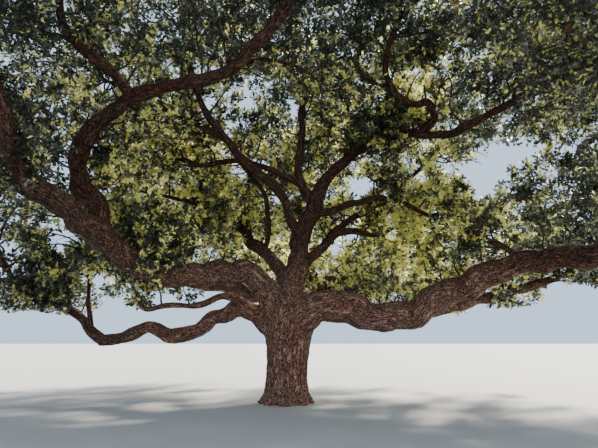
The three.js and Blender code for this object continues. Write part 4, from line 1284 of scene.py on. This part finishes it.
def tubes_of(growth, root, tip, sides, segments):
    """Thin round twigs that run to a point: their places, corners and corner counts"""
    count = len(growth)
    share = np.broadcast_to(np.linspace(0, 1, segments + 1), (count, segments + 1))
    middles, along = growth.at(share), growth.heading(share)
    turns = 2 * math.pi * np.arange(sides) / sides
    chord = unit(growth.end - growth.start)
    first = spread_round(chord, np.zeros(count))[:, None]
    across = unit(first - along * (first * along).sum(-1, keepdims=True))
    other = np.cross(along, across)
    slim = np.clip(fineness_at(growth.start), SLIMMEST, 1)[:, None]
    radius = (root + (tip - root) * share) * slim
    ring = across[..., None, :] * np.cos(turns)[:, None] + other[..., None, :] * np.sin(turns)[:, None]
    places = middles[..., None, :] + ring * radius[..., None, None]
    body = places[:, :-1].reshape(count, -1, 3)
    places = np.concatenate([body, growth.end[:, None]], axis=1)
    k = np.arange(sides)
    around = (k + 1) % sides
    quads = np.stack([k, around, around + sides, k + sides], axis=1)
    quads = np.concatenate([quads + sides * s for s in range(segments - 1)]) if segments > 1 else quads[:0]
    last = sides * (segments - 1)
    point = np.stack([k + last, around + last, np.full(sides, sides * segments)], axis=1)
    corners = np.concatenate([quads.ravel(), point.ravel()])
    counts = np.concatenate([np.full(len(quads), 4), np.full(sides, 3)])
    base = (sides * segments + 1) * np.arange(count)[:, None]
    return places.reshape(-1, 3), (corners[None] + base).ravel(), np.tile(counts, count)


def joined(parts):
    """Places, corners and counts of several parts as one"""
    offsets = np.concatenate([[0], np.cumsum([len(p[0]) for p in parts])[:-1]])
    corners = np.concatenate([p[1] + offset for p, offset in zip(parts, offsets)])
    return np.vstack([p[0] for p in parts]), corners, np.concatenate([p[2] for p in parts])


def leaves_on(index, light, shoots, settings, random, depths):
    """Leaves of a mass or of a limb's sprays, smaller and more where they are near"""
    fine = fineness_at(shoots.end)
    bands = [leaves_of_band(index, light[band], shoots.pick(band), fine[band], settings, random, depths)
             for band in np.array_split(np.argsort(fine), LEAF_BANDS)]
    places, tints = zip(*bands)
    return np.vstack(places), np.concatenate(tints)


def leaves_of_band(index, light, shoots, fine, settings, random, depths):
    """Leaves set round each shoot: their four corners each, and the tint of each leaf"""
    many, each = len(shoots), round(settings.leaves / float(fine.mean())**LEAF_POWER)
    first, least = LEAF_ROOTS
    share = np.linspace(first, 1, each) + random.normal(0, LEAF_ROOT_CHANCE, (many, each))
    share = np.clip(share, least, 1)
    root, along = shoots.at(share), shoots.heading(share)
    turns = 2 * math.pi * random.random((many, 1)) + GOLDEN_ANGLE * np.arange(each)
    end_share, end_spread = LEAF_END
    sideways = np.where(share > end_share, end_spread, LEAF_SPREAD)[..., None]
    heading = along + sideways * spread_round(along, turns)
    heading = unit(heading + random.normal(0, LEAF_TURN_CHANCE, root.shape))
    face = UP * LEAF_FACE_UP + random.normal(0, LEAF_FACE_CHANCE, root.shape)
    across = unit(np.cross(face, heading))
    normal = np.cross(heading, across)
    length = settings.leaf_length * fine[:, None] * random.uniform(*LEAF_LENGTHS, (many, each))
    half_width = settings.leaf_width / 2
    axes = np.stack([heading, across * half_width, normal], axis=2).reshape(-1, 3, 3)
    places = root.reshape(-1, 1, 3) + length.reshape(-1, 1, 1) * (LEAF_OUTLINE @ axes)
    crossing = np.repeat(before_limb(shoots.end, depths), each)
    kept = in_reach(index, places[:, 2]) & (crossing | ~before_limb(places.mean(axis=1), depths))
    tint = np.digitize(light[:, None] + random.normal(0, LEAF_VARIETY, (many, each)), TINT_STEPS)
    return places[kept], tint.ravel()[kept]


def light_of(name, shoots, random):
    """How light the leaves of each shoot are, as painted light: bright inside the crown where the sun shines
    through, dark on its outside as in shade, and in patches of painted sunlight"""
    out = np.linalg.norm((shoots.end - np.array(CROWN_MIDDLE)) / np.array(CROWN_HALVES), axis=1)
    inner = np.interp(out, INNER_REACH, (1, 0))
    light = OUTER_LIGHT + (INNER_LIGHT - OUTER_LIGHT) * inner + random.normal(0, SHOOT_LIGHT, len(shoots))
    patches = np.array([noise.noise(Vector(place)) for place in (shoots.end / PATCH_SIZE).tolist()])
    light += patches * (PATCH_LIGHT + PATCH_LIGHT_INSIDE * inner)
    shift = PAINTED_LIGHT_SHIFTS.get(name, 0)
    light += shift * (inner if shift > 0 else 1)
    column, row, _ = seen_at(shoots.end)
    for *oval, lighter in LIT_PLACES:
        light += lighter * np.interp(off_middle(column, row, *oval), LIT_EDGE, (1, 0))
    turned = random.random(len(shoots)) < RUSSET_SHARE
    for place, reach in RUSSET_PLACES:
        away = np.linalg.norm(shoots.end - np.array(place), axis=1)
        turned |= away < reach * random.random(len(shoots))**0.5
    light[turned] = TINT_STEPS[-1] + 1
    return light


class OAK_OT_trunk_and_boughs(bpy.types.Operator):
    """Trunk and the boughs that leave it, as one skin with the bark's relief"""

    bl_idname = "oak.trunk_and_boughs"
    bl_label = "Trunk and Boughs"

    def execute(self, context):
        settings = context.scene.oak_wood
        boughs = [limb_wood(name) for name in BOUGHS]
        mesh = self.rough_wood(boughs + strand_woods())
        mesh = self.with_modifier(context, mesh, "REMESH", mode="VOXEL", voxel_size=settings.skin)
        self.refine_trunk(mesh)
        mesh = self.with_modifier(context, mesh, "SMOOTH", iterations=SMOOTH_ROUNDS)
        mesh = self.with_modifier(context, mesh, "SMOOTH", "fork", iterations=FORK_ROUNDS)
        self.raise_bark(mesh, boughs, settings)
        cut_at_ground(mesh)
        mesh.name = "trunk_and_boughs"
        mesh.shade_smooth()
        piece = object_of("trunk_and_boughs", mesh)
        settle(piece, bark_material(settings), ["trunk", *BOUGHS])
        return {"FINISHED"}

    @staticmethod
    def rough_wood(woods):
        """The trunk and a tube for each piece of wood, which still cross one another"""
        rings = trunk_rings()
        places = [rings.reshape(-1, 3)]
        faces = tube_faces(len(rings), TRUNK_CORNERS)
        spacing, corners = BOUGH_RINGS
        for wood in woods:
            _, middles, radii, sides, tops = wood.rings(spacing)
            ring = round_wood(sides, tops, ring_turns(corners))
            faces += tube_faces(len(middles), corners, sum(len(part) for part in places))
            places.append((middles[:, None] + ring * radii[:, None, None]).reshape(-1, 3))
        return mesh_of("rough_wood", np.vstack(places), faces)

    @staticmethod
    def with_modifier(context, mesh, kind, group_name="", **values):
        """The mesh as one modifier leaves it; with a group, weighted by nearness to the fork"""
        carrier = object_of("wood_in_work", mesh)
        modifier = carrier.modifiers.new(kind.title(), kind)
        for field, value in values.items():
            setattr(modifier, field, value)
        if group_name:
            group = carrier.vertex_groups.new(name=group_name)
            away = np.linalg.norm(read_corners(mesh) - np.array(FORK), axis=1) / FORK_REACH
            weights = np.clip(FORK_STRENGTH * (1 - away), 0, 1)
            levels = np.round(FORK_LEVELS * weights).astype(int)
            for level in range(1, FORK_LEVELS + 1):
                group.add(np.flatnonzero(levels == level).tolist(), level / FORK_LEVELS, "REPLACE")
            modifier.vertex_group = group_name
        made = bpy.data.meshes.new_from_object(carrier.evaluated_get(context.evaluated_depsgraph_get()))
        bpy.data.objects.remove(carrier)
        bpy.data.meshes.remove(mesh)
        return made

    @staticmethod
    def refine_trunk(mesh):
        """Smaller faces on the trunk, where the furrows are seen best"""
        work = bmesh.new()
        work.from_mesh(mesh)
        edges = set()
        for face in work.faces:
            place = face.calc_center_median()
            if place.z < FINE_HEIGHT and math.hypot(place.x, place.y) < FINE_REACH:
                edges.update(face.edges)
        bmesh.ops.subdivide_edges(work, edges=list(edges), cuts=1, use_grid_fill=True)
        work.to_mesh(mesh)
        work.free()

    @staticmethod
    def raise_bark(mesh, boughs, settings):
        """Raises the skin by its furrows, lumps and knots"""
        places, normals = read_corners(mesh), read_corners(mesh, "normal")
        z = np.linspace(0, TRUNK_TOP, TRUNK_RINGS)
        trunk = Wood(np.stack([trunk_lean(z), 0 * z, z], axis=1), lambda share: trunk_half(share * TRUNK_TOP))
        grain, radius = grain_of(places, [trunk, *boughs])
        furrows, lumps = relief(grain, places, settings)
        height = height_on(radius, furrows, lumps, TRUNK_RELIEF)
        mesh.vertices.foreach_set("co", (places + normals * height[:, None]).astype(np.float32).ravel())
        store_grain(mesh, grain, furrows)


class OAK_OT_limbs(bpy.types.Operator):
    """Limbs that leave the boughs and the stems that run on from them, each a tapering tube with bark"""

    bl_idname = "oak.limbs"
    bl_label = "Limbs"

    def execute(self, context):
        settings = context.scene.oak_wood
        names = [name for name in LIMBS if name not in BOUGHS + BRANCHES]
        limbs, stems = limbs_and_stems()
        woods = [(limbs[name], *LIMB_RINGS) for name in names]
        woods += [(limbs[name], *BRANCH_RINGS) for name in BRANCHES]
        woods += [(stem, *STEM_RINGS) for stem in stems.values()]
        places, faces, grains, heights = [], [], [], []
        first = 0
        for order, (wood, spacing, fewest) in enumerate(woods):
            shares, middles, radii, sides, tops = wood.rings(spacing)
            corners = max(fewest, round(2 * math.pi * float(radii.mean()) / LIMB_FACE))
            turns = ring_turns(corners)
            ring = round_wood(sides, tops, turns).reshape(-1, 3)
            across = radii[:, None, None] * np.concatenate([np.cos(turns), np.sin(turns)], axis=1)
            run = np.repeat(shares * wood.length + LIMB_GRAIN_GAP * order, corners)
            grain = np.column_stack([across.reshape(-1, 2), run])
            radius, middles = np.repeat(radii, corners), np.repeat(middles, corners, axis=0)
            furrows, lumps = relief(grain, middles, settings, LIMB_FURROWS)
            height = height_on(radius, furrows, lumps, LIMB_RELIEF)
            places.append(middles + ring * (radius + height)[:, None])
            faces += tube_faces(len(radii), corners, first)
            grains.append(grain)
            heights.append(furrows)
            first += len(grain)
        mesh = mesh_of("limbs", np.vstack(places), faces)
        store_grain(mesh, np.vstack(grains), np.concatenate(heights))
        mesh.shade_smooth()
        settle(object_of("limbs", mesh), bpy.data.materials["oak_bark"], names)
        return {"FINISHED"}


class OAK_OT_foliage(bpy.types.Operator):
    """Twigs of the low masses, of the high ones and of the limbs' sprays, joined into one piece each, and
    leaves joined into one piece for each part of the crown"""

    bl_idname = "oak.foliage"
    bl_label = "Twigs and Leaves"

    def execute(self, context):
        settings = context.scene.oak_foliage
        limbs, stems = limbs_and_stems()
        depths = limb_depths(limbs)
        crown = crown_growth(settings, limbs, stems, depths)

        bark = plain_material("oak_twig_bark", context.scene.oak_wood.twig_colour, TWIG_ROUGHNESS)
        names = list(crown)
        self.make_twigs("low_twigs", names[:LOW_MASSES], crown, bark)
        self.make_twigs("high_twigs", names[LOW_MASSES:len(MASSES)], crown, bark)
        self.make_twigs("limb_sprays", names[len(MASSES):], crown, bark)

        tints = [leaf_material(name, getattr(settings, tint), settings.glow) for name, tint in TINTS.items()]
        for region in REGIONS:
            self.make_leaves(region, settings, crown, depths, tints)
        return {"FINISHED"}

    @staticmethod
    def make_twigs(title, names, crown, bark):
        """One piece of the twigs, side twigs and shoots of these parts of the crown"""
        parts = [tubes_of(growth, *tube) for name in names for growth, tube in zip(crown[name], TWIG_TUBES)]
        settle(object_of(title, mesh_from_arrays(title, *joined(parts))), bark, [])

    @staticmethod
    def make_leaves(region, settings, crown, depths, tints):
        """One piece of the leaves of a region's masses and sprays, each leaf in its tint"""
        masses = [name for name, mass in MASSES.items() if mass[-1] == region]
        parts = [(name, name, list(MASSES).index(name)) for name in masses]
        parts += [(spray_name(order), row[0], None) for order, row in enumerate(LIMB_SPRAYS)
                  if row[-1] == region]
        places, tint = [], []
        for key, grown_on, index in parts:
            random = np.random.default_rng(settings.seed + LEAF_SEED + list(crown).index(key))
            shoots = crown[key][2]
            light = light_of(grown_on, shoots, random)
            leaf_places, leaf_tint = leaves_on(index, light, shoots, settings, random, depths)
            places.append(leaf_places)
            tint.append(leaf_tint)
        places, tint = np.vstack(places), np.concatenate(tint)
        corners = (LEAF_FACES + len(LEAF_OUTLINE) * np.arange(len(places))[:, None]).ravel()
        counts = np.full(len(corners) // 3, 3)
        title = f"{region}_leaves"
        mesh = mesh_from_arrays(title, places.reshape(-1, 3), corners, counts, np.repeat(tint, 2))
        for material in tints[:-1]:
            mesh.materials.append(material)
        settle(object_of(title, mesh), tints[-1], masses)


class OAK_OT_stage(bpy.types.Operator):
    """Floor, backdrop, light and camera"""

    bl_idname = "oak.stage"
    bl_label = "Stage"

    def execute(self, context):
        settings = context.scene.oak_stage
        half = settings.floor_size / 2
        corners = np.array([(-half, -half, 0), (half, -half, 0), (half, half, 0), (-half, half, 0)])
        floor = object_of("floor", mesh_of("floor", corners, [[0, 1, 2, 3]]))
        floor.data.materials.append(plain_material("pale_floor", settings.floor_colour, FLOOR_ROUGHNESS))

        world = bpy.data.worlds.new("backdrop")
        world.use_nodes = True
        background = world.node_tree.nodes["Background"]
        background.inputs["Color"].default_value = (*settings.sky_colour, 1)
        background.inputs["Strength"].default_value = settings.sky_strength
        context.scene.world = world

        self.add_light("low_sun", settings.sun_strength, settings.sun_softness, SUN_COLOUR,
                       settings.sun_bearing, settings.sun_elevation)
        self.add_light("front_fill", settings.fill_strength, FILL_SOFTNESS, FILL_COLOUR, FILL_BEARING,
                       FILL_ELEVATION)

        lens = bpy.data.cameras.new("photo_view")
        lens.sensor_width = SENSOR_WIDTH
        lens.lens = SENSOR_WIDTH * FOCAL_PIXELS / IMAGE_WIDTH
        lens.clip_end = FARTHEST_SEEN
        camera = object_of("photo_view", lens)
        camera.location = CAMERA_PLACE
        camera.rotation_euler = (math.pi / 2 + CAMERA_PITCH, 0, 0)
        context.scene.camera = camera
        return {"FINISHED"}

    @staticmethod
    def add_light(name, strength, softness, tint, bearing, elevation):
        """A distant light, by its bearing from straight ahead to the right and its height"""
        light = bpy.data.lights.new(name, "SUN")
        light.energy = strength
        light.angle = softness
        light.color = tint
        level = math.cos(elevation)
        towards = Vector((math.sin(bearing) * level, math.cos(bearing) * level, math.sin(elevation)))
        object_of(name, light).rotation_euler = towards.to_track_quat("Z", "Y").to_euler()


class OAK_PT_panel(bpy.types.Panel):
    """The oak's settings and pieces"""

    bl_idname = "OAK_PT_panel"
    bl_label = "Live Oak"
    bl_space_type = "VIEW_3D"
    bl_region_type = "UI"
    bl_category = "Oak"

    def draw(self, context):
        for group in (context.scene.oak_wood, context.scene.oak_foliage, context.scene.oak_stage):
            box = self.layout.box()
            for name in group.__annotations__:
                box.prop(group, name)
        for operator in OPERATORS:
            self.layout.operator(operator.bl_idname)


GROUPS = {"oak_wood": OakWood, "oak_foliage": OakFoliage, "oak_stage": OakStage}
OPERATORS = (OAK_OT_stage, OAK_OT_trunk_and_boughs, OAK_OT_limbs, OAK_OT_foliage)


def register():
    for cls in (*GROUPS.values(), *OPERATORS, OAK_PT_panel):
        bpy.utils.register_class(cls)
    for name, cls in GROUPS.items():
        setattr(bpy.types.Scene, name, PointerProperty(type=cls))


def unregister():
    for name in GROUPS:
        delattr(bpy.types.Scene, name)
    for cls in reversed((*GROUPS.values(), *OPERATORS, OAK_PT_panel)):
        bpy.utils.unregister_class(cls)


def main():
    register()
    bpy.ops.oak.stage()
    bpy.ops.oak.trunk_and_boughs()
    bpy.ops.oak.limbs()
    bpy.ops.oak.foliage()
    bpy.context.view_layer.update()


if __name__ == "__main__":
    main()
